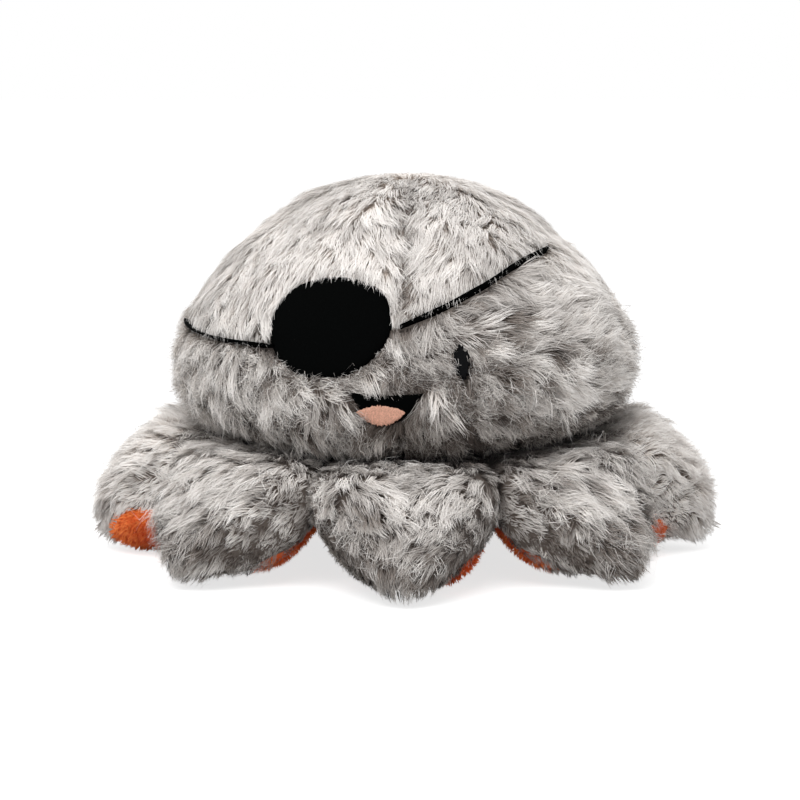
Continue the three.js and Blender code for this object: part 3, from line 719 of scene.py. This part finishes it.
def head_fur(name, grid, azimuths, distances, style, rng, mesh):
    """Grows one style of fur over a gore of the head."""
    keep = np.ones(np.array(grid.shape[:2]) - 1)
    keep[-1:] = 0
    place, normal, down, i, j = scatter(grid, keep, style["spacing"], rng)
    count = len(place)
    az = np.interp(j, np.arange(len(azimuths)), azimuths)
    az = np.where(az > math.pi, az - 2 * math.pi, az)
    distance = np.interp(i, np.arange(len(distances)), distances)
    height = height_at(distance)
    parts = head_parts(az, distance, height)
    low, left, chin = (parts[part] for part in ("low", "left", "chin"))
    east = np.cross(normal, down)
    east *= np.sign(east[:, 0] * np.cos(az) + east[:, 1] * np.sin(az))[:, None]
    east_share, down_share = head_flow(az, distance)
    fur = new_fur(place, normal, unit(east * east_share[:, None] + down * down_share[:, None]))

    mottle = noise(place, 11 * MM, 2)
    fur.lift = weighed(parts, HEAD_LIFT) - 0.4 + 0.3 * mottle * (0.4 + low)
    yaw = 0.2 * noise(place, 40 * MM, 1) + (0.2 + 0.4 * low) * mottle
    yaw = yaw + rng.normal(0, 0.1, count) * (1 + 1.5 * fur.lift.clip(0))
    gather, from_middle, drawn = clumped(rng, place, style["spacing"], CLUMP_SPACING)
    yaw = yaw + drawn(0.28) * (0.4 + 0.6 * low)
    fur.lift += drawn(0.16) * (0.3 + 0.7 * low)
    if style is FRIZZ:
        share = (fur.lift + 0.4 * low) * (0.7 + 0.8 * noise(place, 8 * MM, 15)) * low
        fur.alive = rng.random(count) < share
        yaw = yaw + rng.normal(0, FRIZZ_YAW, count)
        fur.lift += FRIZZ_LIFT
        gather = 0 * gather
    fur.gather = gather * CLUMP_PULL * (0.35 + 0.65 * low)[:, None]
    fur.comb = turned(fur.comb, normal, yaw)

    # Painted shade darkens the lower head where it turns down from the lamp, on top of its raised fur's
    # dark base, and painted light pales the lower left cheek, which faces the lamp. Clumps darken towards
    # their edges, painted shade between them.
    patches = 0.15 + 0.45 * low * (1 - 0.8 * chin) * (1 - 0.4 * left)
    fur.shade = 0.07 - 0.28 * low * left + 0.18 * low * (1 - 0.9 * left) + weighed(parts, HEAD_SHADE)
    fur.shade += patches * noise(place, 8 * MM, 4) + (0.1 + 0.35 * low) * (from_middle - 0.35)
    fur.shade += rng.normal(0, 0.05, count) * (1 + low)
    fur.shade += drawn(0.08) * (1 + 2 * low)
    fur.frost = np.clip(1 + weighed(parts, HEAD_FROST), LEAST_FROST, 1)

    fur.length = uneven(FUR_LENGTH, place, 3, rng)
    fur.length *= (1 + 0.25 * parts["shoulder"]) * (1 - 0.3 * parts["seam"])
    fur.length *= 1 - (1 - RAISED_LENGTH) * np.clip(fur.lift, 0, 1)
    fur.length *= 1 - 0.45 * parts["under"] * (0.4 + 0.6 * parts["right"])
    if style is RIM:
        fur.alive = np.min([clear(az, distance) for clear, *_ in FACE], axis=0) < RIM_WIDTH
    if name.startswith("front"):
        open_face(fur, az, distance, east, down, style, rng)
    grow(mesh, rng, fur, style)


def head_gore(index, name):
    azimuths = np.radians(np.linspace(90 * index, 90 * (index + 1), GORE_COLUMNS))
    distances = np.linspace(0.2 * MM, OUTLINE_LENGTH, GORE_ROWS)
    places = np.meshgrid(azimuths, distances)
    crown = between_heights(distances, 106, 119)[:, None]
    high = between_heights(distances, 84, 108)[:, None]
    depth = HEAD_SKIN_DEPTH + (CROWN_SKIN_DEPTH - HEAD_SKIN_DEPTH) * crown
    depth = depth + CROWN_LUMPS * high * noise(on_head(*places, 0), 36 * MM, 21)
    grid = on_head(*places, depth)
    heights = height_at([*distances, OUTLINE_LENGTH])
    inward = 1 - COVER_TURN_IN / NECK_RADIUS
    for styles, kind in (((LOCKS,), "fur"), ((FRIZZ, RIM), "frizz")):
        rng = np.random.default_rng(100 + index + 10 * (kind == "frizz"))
        mesh = Mesh()
        if kind == "fur":
            levels = skin_levels(heights, SKIN_CREASE, crown=smoothstep(heights, *SKIN_CROWN))
            mesh.add_grid(np.concatenate([grid, grid[-1:] * [inward, inward, 1]]), levels=levels)
        for style in styles:
            if style is not RIM or name.startswith("front"):
                head_fur(name, grid, azimuths, distances, style, rng, mesh)
        piece = mesh.build("head_" + kind + "_" + name, FUR)
        on_head_body(piece, "head_cover_" + name)


# Legs, along +X in their own frame
SECTOR_HALF = math.pi / len(LEGS)
LEG_ROOT_RADIUS = CAVITY_RADIUS + LINING_THICKNESS + LEG_ROOT_GAP
LEG_NECK_TOP = NECK_HEIGHT - LEG_NECK_GAP


def past(start, radius, inset):
    """How far out a radius is from a start, at 0, to the leg's tip, at 1."""
    return np.clip((radius - start) / (LEG_REACH - inset - start), 0, 1)


def leg_top(radius, inset):
    rise = smoothstep(radius, NECK_RADIUS, LEG_CROWN_RADIUS)
    depth = LEG_SIDE_SKIN + (inset - LEG_SIDE_SKIN) * rise
    neck = LEG_NECK_TOP + (LEG_CROWN_HEIGHT - LEG_NECK_TOP) * rise - depth
    fall = LEG_CROWN_HEIGHT - inset - LEG_TIP_HEIGHT
    lobe = LEG_TIP_HEIGHT + fall * np.sqrt(1 - past(LEG_CROWN_RADIUS, radius, inset) ** LEG_SHOULDER)
    return np.where(radius <= LEG_CROWN_RADIUS, neck, lobe)


def leg_bottom(radius, inset):
    lowest = inset - FOOT_FLAT
    arch = np.clip((LEG_ARCH_RADIUS - radius) / (LEG_ARCH_RADIUS - LEG_ROOT_RADIUS), 0, None)
    rise = LEG_ARCH_HEIGHT * arch**LEG_ARCH_POWER
    tip = 1 - np.sqrt(1 - past(LEG_FOOT_RADIUS, radius, inset) ** 2)
    return lowest + rise + (LEG_TIP_HEIGHT - lowest) * tip


def leg_half_width(radius, inset):
    gap = LEG_SIDE_GAP / 2 / math.cos(SECTOR_HALF)
    drawn_in = LEG_SIDE_SKIN + (inset - LEG_SIDE_SKIN) * smoothstep(radius, *LEG_PARTING)
    widest = np.minimum(radius, LEG_WIDEST) * math.tan(SECTOR_HALF) - gap - drawn_in
    return widest * np.sqrt(1 - past(LEG_WIDEST, radius, inset) ** LEG_TAPER)


def leg_grid(turn_out, inset):
    """The leg's skin in its own frame, a row of points round it for each station from root to tip."""
    share = np.linspace(0, 1, LEG_STATIONS)
    straight = LEG_ROOT_RADIUS + (LEG_CROWN_RADIUS - LEG_ROOT_RADIUS) * share / LEG_KNEE
    bow = np.sin(np.clip((share - LEG_KNEE) / (1 - LEG_KNEE), 0, 1) * math.pi / 2)
    bowed = LEG_CROWN_RADIUS + (LEG_REACH - inset - LEG_CROWN_RADIUS) * bow
    radius = np.where(share < LEG_KNEE, straight, bowed)[:, None]
    top, bottom, half = (f(radius, inset) for f in (leg_top, leg_bottom, leg_half_width))
    belly = bottom + (top - bottom) * LEG_BELLY_SHARE
    roundness = smoothstep(radius, *LEG_PARTING)
    squareness = LEG_ROOT_SQUARENESS + (LEG_TIP_SQUARENESS - LEG_ROOT_SQUARENESS) * roundness
    turn = (np.linspace(0, 2 * math.pi, LEG_TURNS) + 1e-4)[None]
    across, up = np.sin(turn), np.cos(turn)
    power = 2 / np.where(up > 0, squareness, LEG_TIP_SQUARENESS)
    y = half * np.sign(across) * np.abs(across) ** power
    z = belly + np.where(up > 0, top - belly, bottom - belly) * np.abs(up) ** power
    x = radius + 0 * y
    forward = -x * math.sin(turn_out) - y * math.cos(turn_out)
    z = z * (1 - forward * math.tan(HEAD_LEAN) / NECK_HEIGHT)
    return np.stack([x, y, z], -1)


def side_opened(points, opening):
    """1 on the side of a leg that the sign of its opening names, 0 on the other side."""
    wider = SIDE_WIDENING * max(abs(opening) - 1, 0)
    return smoothstep(np.sign(opening) * points[..., 1] / points[..., 0] + wider, *SIDE_START)


def above_seam(points, opening):
    """Height over the seam between grey cover and orange sole, which rises on a wide open side."""
    rise = SEAM_RISE * max(abs(opening) - 1, 0) * side_opened(points, opening)
    slope = SOLE_SLOPE * (LEG_REACH - points[..., 0])
    return points[..., 2] - SOLE_EDGE_HEIGHT - slope - rise


def above_hem(points, opening):
    """Height over the lowest roots of the grey fur, which hangs over the sole except on the open side."""
    out = points[..., 0]
    opened = min(abs(opening), 1) * side_opened(points, opening)
    hang = HEM_OVERHANG + FLANK_OVERHANG * smoothstep(out, *HEM_FLANK)
    return above_seam(points, opening) + hang * smoothstep(out, *HEM_START) * (1 - opened)


def on_leg(piece, name, node):
    """Hides the frame's part of a leg that a piece stands in for, and sets the piece's placing into its
    points.
    """
    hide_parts("leg_" + name + node)
    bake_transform(piece)


def leg_parts(place, normal, world, turn_out, opening):
    """How far each named part of a leg holds at places on it, from 0 to 1."""
    out, high, aside = place[:, 0] / MM, place[:, 2] / MM, np.abs(place[:, 1]) / place[:, 0]
    facing = smoothstep(-math.sin(turn_out), 0.1, 0.9)
    front = smoothstep(normal[:, 2], 0.85, 0.2) * smoothstep(out, 64, 82)
    hem = near(np.maximum(above_seam(place, opening), 0), HEM_WIDTH)
    underside = smoothstep(out, 92, 84)
    return SimpleNamespace(
        facing=facing,
        front=front * (0.3 + 0.7 * facing),
        flank=smoothstep(np.abs(normal[:, 1]), 0.45, 0.8) * smoothstep(out, 62, 70),
        hem=hem * (0.15 + 0.85 * smoothstep(normal[:, 0], 0.1, 0.5)),
        spread=np.sign(place[:, 1]) * smoothstep(aside, 0.12, 0.4) * smoothstep(out, 86, 72),
        notch=smoothstep(aside, 0.24, 0.38) * smoothstep(out, 61, 69) * underside,
        below=smoothstep(-normal[:, 2], 0, 0.5) * underside,
        toe=smoothstep(high, 26, 8),
        root=smoothstep(out, 70, 56),
        crease=smoothstep(out, 74, 60),
        inner_crease=smoothstep(out, 72, 58),
        right=smoothstep(world[:, 0] / MM, -10, 15) * smoothstep(-world[:, 1] / MM, 5, 35),
    )


def leg_fur(grid, turn_out, opening, fluff_and_light, style, rng, mesh):
    """Grows one style of fur over a leg's cover. It hangs over the sole, less on the side where the
    sign of its opening lays the sole open."""
    over, out = cell_mean(above_hem(grid, opening)), cell_mean(grid)[..., 0]
    facing_up = unit(np.cross(np.diff(grid, axis=0)[:, :-1], np.diff(grid, axis=1)[:-1]))[..., 2]
    keep = ((over > 0) & (out > LEG_FUR_START) & (facing_up > LOWEST_FACING)).astype(float)
    place, normal, along, *_ = scatter(grid, keep, style["spacing"], rng)
    count = len(place)
    world = turned_out(place, turn_out)
    part = leg_parts(place, normal, world, turn_out, opening)
    front, hem, free = part.front, part.hem, (1 - part.hem) * (1 - part.flank)
    aside = np.stack([0 * hem, 0.8 * part.spread, 0 * hem - 0.3], -1)
    comb = unit(along + aside * (1 - part.flank)[:, None])
    comb = unit(comb - normal * (comb * normal).sum(1)[:, None])
    comb = unit(comb * (1 - 0.6 * hem)[:, None] + np.array([0, 0, -0.6]) * hem[:, None])
    fur = new_fur(world, turned_out(normal, turn_out), comb)

    mottle = noise(world, 11 * MM, 7)
    fur.lift = (0.85 * front - 0.2 + 0.3 * mottle * (0.4 + front)) * free - 0.4 * hem
    yaw = 0.25 * noise(world, 30 * MM, 6) + (0.2 + 0.3 * front) * mottle
    yaw = yaw + rng.normal(0, 0.14, count) * (1 + front)
    gather, from_middle, drawn = clumped(rng, place, style["spacing"], LEG_CLUMP_SPACING)
    yaw = yaw + drawn(0.28)
    fur.lift += drawn(0.16) * (1 - hem) + fluff_and_light * free
    if style is FRIZZ:
        share = (fur.lift + 0.3 * front) * (0.7 + 0.8 * noise(world, 8 * MM, 16))
        fur.alive = rng.random(count) < share
        yaw = yaw + rng.normal(0, FRIZZ_YAW, count)
        fur.lift += FRIZZ_LIFT * free
        gather = 0 * gather
    fur.gather = CLUMP_PULL * turned_out(gather, turn_out) * (1 - 0.8 * hem[:, None])
    fur.comb = turned_out(turned(comb, normal, yaw * (1 - 0.7 * hem)), turn_out)

    length = np.minimum(uneven(LEG_FUR_LENGTH, world, 8, rng), 0.6 * place[:, 2] + 3 * MM)
    length *= (1 - 0.6 * np.maximum(part.flank, part.notch)) * (1 - 0.3 * hem) * (1 - 0.5 * part.below)
    length *= (1 - (1 - RAISED_LENGTH) * np.clip(fur.lift, 0, 1)) * (1 - 0.6 * part.root)
    fur.length = length

    # Painted shade darkens the legs that face the front and painted light pales the others, most the
    # right leg. The raised fronts are darker, partly their dark base and partly painted shade on slopes
    # that turn down from the lamp, and darker still towards the floor. Clumps darken towards their edges,
    # painted shade between them. Painted shade darkens the front right a little, and painted shade and
    # less frost darken the crease under the head, most on the front right.
    fur.shade = 0.22 * part.facing + 0.07 * part.facing**6 - 0.1 * (1 - part.facing) - 0.25 * fluff_and_light
    fur.shade = fur.shade + 0.45 * front + (0.1 + 0.42 * front) * noise(world, 9 * MM, 9)
    fur.shade += rng.normal(0, 0.06, count) * (1 + front)
    fur.shade += drawn(0.09) * (1 + front)
    fur.shade += (0.3 + 0.15 * front) * (from_middle - 0.35) + 0.3 * front * part.toe
    fur.shade += 0.06 * part.right + (0.5 + 0.3 * part.right) * part.crease
    fur.frost = 1 - 0.4 * part.right * part.inner_crease
    grow(mesh, rng, fur, style, floor=FUR_FLOOR)


def leg_cover(index, name, turn_out):
    grid = leg_grid(turn_out, LEG_SKIN_DEPTH)
    opening = HEM_OPENINGS[index]
    for style, kind in ((LOCKS, "fur"), (FRIZZ, "frizz")):
        rng = np.random.default_rng(200 + index + 20 * (style is FRIZZ))
        mesh = Mesh()
        if style is LOCKS:
            covered = cell_mean(above_hem(grid, opening)) > -SKIN_OVERLAP
            levels = skin_levels(grid[:, 0, 0], LEG_SKIN_CREASE)
            mesh.add_grid(turned_out(grid, turn_out), keep=covered, levels=levels)
        leg_fur(grid, turn_out, opening, LEG_FLUFF_AND_LIGHT.get(name, 0), style, rng, mesh)
        piece = mesh.build("leg_" + name + "_" + kind, FUR)
        on_leg(piece, name, "_cover")


def leg_sole(index, name, turn_out):
    rng = np.random.default_rng(300 + index)
    opening = HEM_OPENINGS[index]
    grid, edge = (leg_grid(turn_out, depth) for depth in (SOLE_SKIN_DEPTH, SOLE_EDGE_DEPTH))
    grid = grid + (edge - grid) * smoothstep(above_hem(grid, opening), *SOLE_TUCK)[..., None]
    over = cell_mean(above_seam(grid, opening))
    mesh = Mesh()
    levels = np.linspace(0, SKIN_BAND, LEG_STATIONS)
    mesh.add_grid(turned_out(grid, turn_out), keep=over < SKIN_OVERLAP, levels=levels)
    bare = (over < 0.3 * MM) & (cell_mean(above_hem(grid, opening)) < 1 * MM)
    place, normal, along, *_ = scatter(grid, bare.astype(float), NAP["spacing"], rng)
    world, count = turned_out(place, turn_out), len(place)
    comb = turned(along, normal, 0.5 * noise(world, 15 * MM, 11) + rng.normal(0, 0.4, count))
    fur = new_fur(world, turned_out(normal, turn_out), turned_out(comb, turn_out))
    fur.shade = 0.4 + 0.2 * noise(world, 6 * MM, 12) + rng.normal(0, 0.15, count)
    fur.length = NAP_LENGTH * rng.uniform(0.7, 1.1, count)
    grow(mesh, rng, fur, NAP, floor=NAP_FLOOR)
    piece = mesh.build("leg_" + name + "_plush", PLUSH)
    on_leg(piece, name, "_sole")


# Materials
def add_node(tree, kind, inputs, **settings):
    """Adds a shader node with its settings, and its inputs as values or other nodes' outputs."""
    node = tree.nodes.new("ShaderNode" + kind)
    for key, value in settings.items():
        setattr(node, key, value)
    return set_inputs(tree, node, inputs)


def set_inputs(tree, node, inputs):
    for key, value in inputs.items():
        if isinstance(value, bpy.types.NodeSocket):
            tree.links.new(value, node.inputs[key])
        else:
            node.inputs[key].default_value = value
    return node


def new_material(name):
    material = bpy.data.materials.new(name)
    material.use_nodes = True
    return material, material.node_tree


def ramp(tree, source, stops):
    node = add_node(tree, "ValToRGB", {"Fac": source})
    elements = node.color_ramp.elements
    while len(elements) < len(stops):
        elements.new(0.5)
    for element, (position, colour) in zip(elements, stops):
        element.position = position
        element.color = (*colour, 1)
    return node.outputs["Color"]


def strand_material(name, pale, dark, roughness):
    """Fur whose colour runs from root to tip up the UV map, and from pale to dark locks across it."""
    material, tree = new_material(name)
    place = add_node(tree, "UVMap", {}, uv_map=UV_MAP)
    shade, rise, _ = add_node(tree, "SeparateXYZ", {"Vector": place.outputs["UV"]}).outputs
    colours = {"Factor": shade, "A": ramp(tree, rise, pale), "B": ramp(tree, rise, dark)}
    mix = add_node(tree, "Mix", colours, data_type="RGBA")
    looks = {"Base Color": mix.outputs["Result"], "Roughness": roughness, "Specular IOR Level": 0.2,
             "Sheen Weight": 0.1}
    set_inputs(tree, tree.nodes["Principled BSDF"], looks)
    return material


# The skin's colours, from painted shade in the crease to painted light at the crown
FUR_SKIN = [(0.01, (0.025, 0.02, 0.017)), (0.028, (0.1, 0.08, 0.068)), (0.048, (0.5, 0.43, 0.38))]
PALE_FUR = [*FUR_SKIN, (0.07, (0.62, 0.54, 0.48)), (0.25, (0.87, 0.81, 0.76)),
            (0.6, (0.97, 0.935, 0.9)), (1, (0.99, 0.965, 0.94))]
DARK_FUR = [*FUR_SKIN, (0.07, (0.035, 0.026, 0.021)), (0.38, (0.085, 0.066, 0.055)),
            (0.72, (0.28, 0.24, 0.212)), (1, (0.7, 0.66, 0.625))]
PALE_PLUSH = [(0, (0.82, 0.16, 0.03)), (1, (1.0, 0.34, 0.1))]
DARK_PLUSH = [(0, (0.6, 0.08, 0.015)), (1, (0.92, 0.22, 0.05))]
FUR = strand_material("frosted_fur", PALE_FUR, DARK_FUR, 0.85)
PLUSH = strand_material("orange_plush", PALE_PLUSH, DARK_PLUSH, 0.8)


def plain_material(name, colour, roughness, grain=0.0, grain_size=0.4 * MM, specular=0.2):
    """One colour, darker and paler in grains that also stand out from the surface."""
    material, tree = new_material(name)
    place = add_node(tree, "TexCoord", {}).outputs["Object"]
    grains = add_node(tree, "TexNoise", {"Vector": place, "Scale": 1 / grain_size}).outputs["Fac"]
    stops = [(at, tuple(c * level for c in colour)) for at, level in GRAIN_SHADES]
    looks = {"Base Color": ramp(tree, grains, stops), "Roughness": roughness,
             "Specular IOR Level": specular}
    if grain:
        bump = add_node(tree, "Bump", {"Height": grains, "Strength": GRAIN_BUMP, "Distance": grain})
        looks["Normal"] = bump.outputs["Normal"]
    set_inputs(tree, tree.nodes["Principled BSDF"], looks)
    return material


FELT = plain_material("black_felt", (0.0013, 0.0015, 0.0015), 1, 0.1 * MM, specular=0.02)
THREAD = plain_material("black_thread", (0.004, 0.004, 0.0045), 0.8, 0.1 * MM, specular=0.05)
SATIN = plain_material("pink_thread", (0.68, 0.37, 0.27), 0.5, 0.1 * MM)
WADDING = plain_material("wadding", (0.85, 0.84, 0.81), 1, 0.4 * MM, 2 * MM)
PLASTIC = plain_material("squeaker_plastic", (0.78, 0.76, 0.7), 0.45)


def sew_on(name, node, rows, material, wrap=False):
    mesh = Mesh()
    mesh.add_grid(np.array(rows), wrap=wrap)
    on_head_body(mesh.build(name, material), node)


def laid_piece(name, node, feature, outline, material):
    """A flat piece of cloth laid on the head, with a rounded edge. Its rows run from the middle of its
    face out to the edge, and back under it."""
    x, y = outline(feature)
    middle = distance_at(feature["height"])
    face = [(k / LAID_RINGS, 0) for k in range(LAID_RINGS + 1)]
    rows = []
    for share, drop in [*face, (1.02, 0.4), (1.02, 1), (0.5, 1), (0, 1)]:
        share = max(share, 1e-3)
        rounding = np.clip((share - 0.9) / 0.1, 0, 1) ** 2 * 0.3 * MM
        distance = middle - (y.mean() + (y - y.mean()) * share)
        turn = (x.mean() + (x - x.mean()) * share) / radius_at(distance)
        azimuth = feature["azimuth"] + turn
        depth = feature["depth"] + rounding + drop * feature["thickness"]
        rows.append(on_head(azimuth, distance, depth))
    sew_on(name, node, rows, material, wrap=True)


def strap(name, route):
    """A felt strap sewn down into the fur, so that it stands up as a ridge on a wider foot."""
    azimuth, distance = route
    step_az, step_d = np.gradient(azimuth) * radius_at(distance), np.gradient(distance)
    length = np.hypot(step_az, step_d)
    across_az, across_d = step_d / length / radius_at(distance), -step_az / length
    along = np.arange(len(azimuth))
    slim = 0.35 + 0.65 * smoothstep(np.minimum(along, along[::-1]) / len(along), 0, STRAP_TAPER)
    sunk = STRAP_SINK_DEPTH * smoothstep(azimuth, STRAP_SINKS, STRAP_SINKS + STRAP_SINK_TURN)
    foot, shown = STRAP_WIDTH / 2 * slim, STRAP_SHOWN[name] / 2 * slim
    section = [(foot, STRAP_FOOT_DEPTH), (shown, STRAP_EDGE_DEPTH), (shown * 0.6, STRAP_TOP_DEPTH)]
    section += [(-side, depth) for side, depth in reversed(section)] + [section[0]]
    rows = [
        on_head(azimuth + side * across_az, distance + side * across_d, depth + sunk)
        for side, depth in section
    ]
    sew_on(name + "_felt", name, rows, FELT)


def tongue():
    """Satin stitches side by side, each a raised thread that ends a little past or short of the next."""
    rng = np.random.default_rng(500)
    columns = 4 * TONGUE_STITCHES + 1
    u = np.linspace(-0.99, 0.99, columns)
    thread = np.arange(columns) // 4
    ends = rng.uniform(-0.35, 0.35, (2, TONGUE_STITCHES + 1)) * MM
    room = 1 - u**2
    top = TONGUE["rise"] * room + ends[0][thread] * np.sqrt(room)
    bottom = -TONGUE["drop"] * room + ends[1][thread] * np.sqrt(room)
    lift = STITCH_HEIGHT * np.sqrt(np.clip(np.sin(np.arange(columns) % 4 / 4 * math.pi), 0, 1))
    middle = distance_at(TONGUE["height"])
    shares = [0, 0, 0.06, 0.3, 0.55, 0.8, 0.94, 1, 1]
    drops = [1.2 * MM, 0.2 * MM, 0, 0, 0, 0, 0, 0.2 * MM, 1.2 * MM]
    rows = []
    for share, drop in zip(shares, drops):
        distance = middle - (bottom + (top - bottom) * share)
        azimuth = TONGUE["azimuth"] + u * TONGUE["width"] / 2 / radius_at(distance)
        rows.append(on_head(azimuth, distance, TONGUE["depth"] + drop - lift))
    sew_on("tongue_satin", "tongue", rows, SATIN)


def lining():
    rng = np.random.default_rng(400)
    azimuth = np.radians(np.linspace(0, 360, LINING_COLUMNS))
    bends = np.linspace(0, math.pi / 2 - 0.01, LINING_DOME_ROWS)
    walls = []
    for outset in (0.9 * MM, LINING_THICKNESS - 0.2 * MM):
        shoulder = CAVITY_TOP - CAVITY_SHOULDER + outset
        wall = np.linspace(CAVITY_MOUTH + 0.3 * MM, CAVITY_SHOULDER, LINING_WALL_ROWS)
        rows = [(1, height) for height in wall[:-1]]
        rows += [(math.cos(t), CAVITY_SHOULDER + shoulder * math.sin(t)) for t in bends]
        share, height = np.array(rows).T[..., None]
        radius = share * (CAVITY_RADIUS + outset - RIB_DIP * seam_share(azimuth, RIB_COUNT))
        wall = [radius * np.sin(azimuth), -radius * np.cos(azimuth), height + 0 * radius]
        walls.append(np.stack(wall, -1))
    inner, outer = walls
    mesh = Mesh()
    levels = np.linspace(0, SKIN_BAND, 2 * len(inner))
    mesh.add_grid(np.concatenate([outer[::-1], inner]), levels=levels)
    place, normal, along, *_ = scatter(inner, 1, NAP["spacing"], rng)
    count = len(place)
    normal = -normal * np.sign((normal * place * np.array([1, 1, 0.3])).sum(1))[:, None]
    fur = new_fur(place, normal, turned(-along, normal, rng.normal(0, 0.4, count)))
    fur.shade = 0.5 + 0.25 * noise(place, 6 * MM, 13) + rng.normal(0, 0.15, count)
    fur.length = np.full(count, LINING_NAP_LENGTH)
    grow(mesh, rng, fur, NAP)
    on_head_body(mesh.build("cavity_plush", PLUSH), "cavity_lining")


def wadding(node):
    """Loose filling: a lumpy copy of the frame's solid, drawn in from the cover."""
    piece = linked(node + "_fill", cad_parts[node].data.copy())
    piece.data.materials.clear()
    piece.data.materials.append(WADDING)
    remesh = piece.modifiers.new("remesh", "REMESH")
    remesh.mode = "VOXEL"
    remesh.voxel_size = WADDING_VOXEL
    graph = bpy.context.evaluated_depsgraph_get()
    mesh = bpy.data.meshes.new_from_object(piece.evaluated_get(graph))
    piece.modifiers.clear()
    piece.data = mesh
    points, normals = np.zeros((2, len(mesh.vertices), 3), np.float32)
    mesh.vertices.foreach_get("co", points.ravel())
    mesh.vertex_normals.foreach_get("vector", normals.ravel())
    inward = (0.9 + 0.6 * noise(points, WADDING_LUMPS, 14))[:, None] * MM
    points -= normals * inward.clip(0.2 * MM)
    mesh.vertices.foreach_set("co", points.ravel())
    mesh.polygons.foreach_set("use_smooth", np.ones(len(mesh.polygons), bool))
    mesh.update()
    return piece


for index, name in enumerate(GORES):
    head_gore(index, name)
laid_piece("eye_patch_felt", "eye_patch", PATCH, ellipse_outline, FELT)
laid_piece("eye_stitching", "eye", EYE, stitched_outline, THREAD)
laid_piece("mouth_felt", "mouth", MOUTH, lens_outline, FELT)
tongue()
for name, route in STRAP_ROUTES.items():
    strap(name, route)
lining()
on_head_body(wadding("head_stuffing"), "head_stuffing")
for index, name in enumerate(LEGS):
    turn_out = 2 * math.pi * index / len(LEGS) - math.pi / 2
    leg_cover(index, name, turn_out)
    leg_sole(index, name, turn_out)
    filling = wadding("leg_" + name + "_stuffing")
    on_leg(filling, name, "_stuffing")
for node in ("squeaker_bulb", "squeaker_reed"):
    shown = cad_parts[node]
    shown.data.materials.clear()
    shown.data.materials.append(PLASTIC)


# Floor, light and camera
FLOOR_COLOUR = 0.6
FLOOR_GLOW = 0.72
SKY_LIGHT = 0.58
LAMP_POWER = 10.4
LAMP_SIZE = 0.9
LAMP_PLACE = (-0.18, -0.55, 0.98)
LAMP_AIM = (0, 0, 0.05)
CAMERA_PLACE = (-1.6 * MM, -892.3 * MM, 166.1 * MM)
CAMERA_AIM = (-1.6 * MM, 0, 48.6 * MM)
CAMERA_LENS = 125.8


def seen_directly(tree):
    """1 for camera, glossy and transmission rays, 0 for the rest."""
    rays = add_node(tree, "LightPath", {}).outputs
    seen = rays["Is Camera Ray"]
    for ray in ("Is Glossy Ray", "Is Transmission Ray"):
        seen = add_node(tree, "Math", {0: seen, 1: rays[ray]}, operation="MAXIMUM").outputs[0]
    return seen


def grey(level):
    return level, level, level, 1


def lit_floor():
    bpy.ops.mesh.primitive_plane_add(size=12)
    floor = bpy.context.object
    floor.name = "floor"
    material, tree = new_material("floor")
    tree.nodes.clear()
    diffuse = add_node(tree, "BsdfDiffuse", {"Color": grey(FLOOR_COLOUR)})
    glow = add_node(tree, "Emission", {"Color": grey(FLOOR_GLOW), "Strength": seen_directly(tree)})
    both = add_node(tree, "AddShader", {0: diffuse.outputs[0], 1: glow.outputs[0]})
    add_node(tree, "OutputMaterial", {"Surface": both.outputs[0]})
    floor.data.materials.append(material)


def aimed(name, data, place, aim):
    """A lamp or camera at a place, turned towards its aim."""
    holder = linked(name, data)
    holder.location = place
    holder.rotation_mode = "QUATERNION"
    holder.rotation_quaternion = (Vector(place) - Vector(aim)).to_track_quat("Z", "Y")
    return holder


def studio():
    world = bpy.data.worlds.new("studio")
    bpy.context.scene.world = world
    world.use_nodes = True
    tree = world.node_tree
    light = add_node(tree, "Mix", {"Factor": seen_directly(tree), "A": SKY_LIGHT, "B": 1})
    sky = {"Color": grey(1), "Strength": light.outputs["Result"]}
    set_inputs(tree, tree.nodes["Background"], sky)
    lamp = bpy.data.lights.new("softbox", "AREA")
    lamp.shape = "SQUARE"
    lamp.size = LAMP_SIZE
    lamp.energy = LAMP_POWER
    aimed("softbox", lamp, LAMP_PLACE, LAMP_AIM)
    camera = bpy.data.cameras.new("camera")
    camera.lens = CAMERA_LENS
    camera.clip_start = 0.05
    bpy.context.scene.camera = aimed("camera", camera, CAMERA_PLACE, CAMERA_AIM)


lit_floor()
studio()
bpy.context.scene.view_settings.view_transform = "Standard"
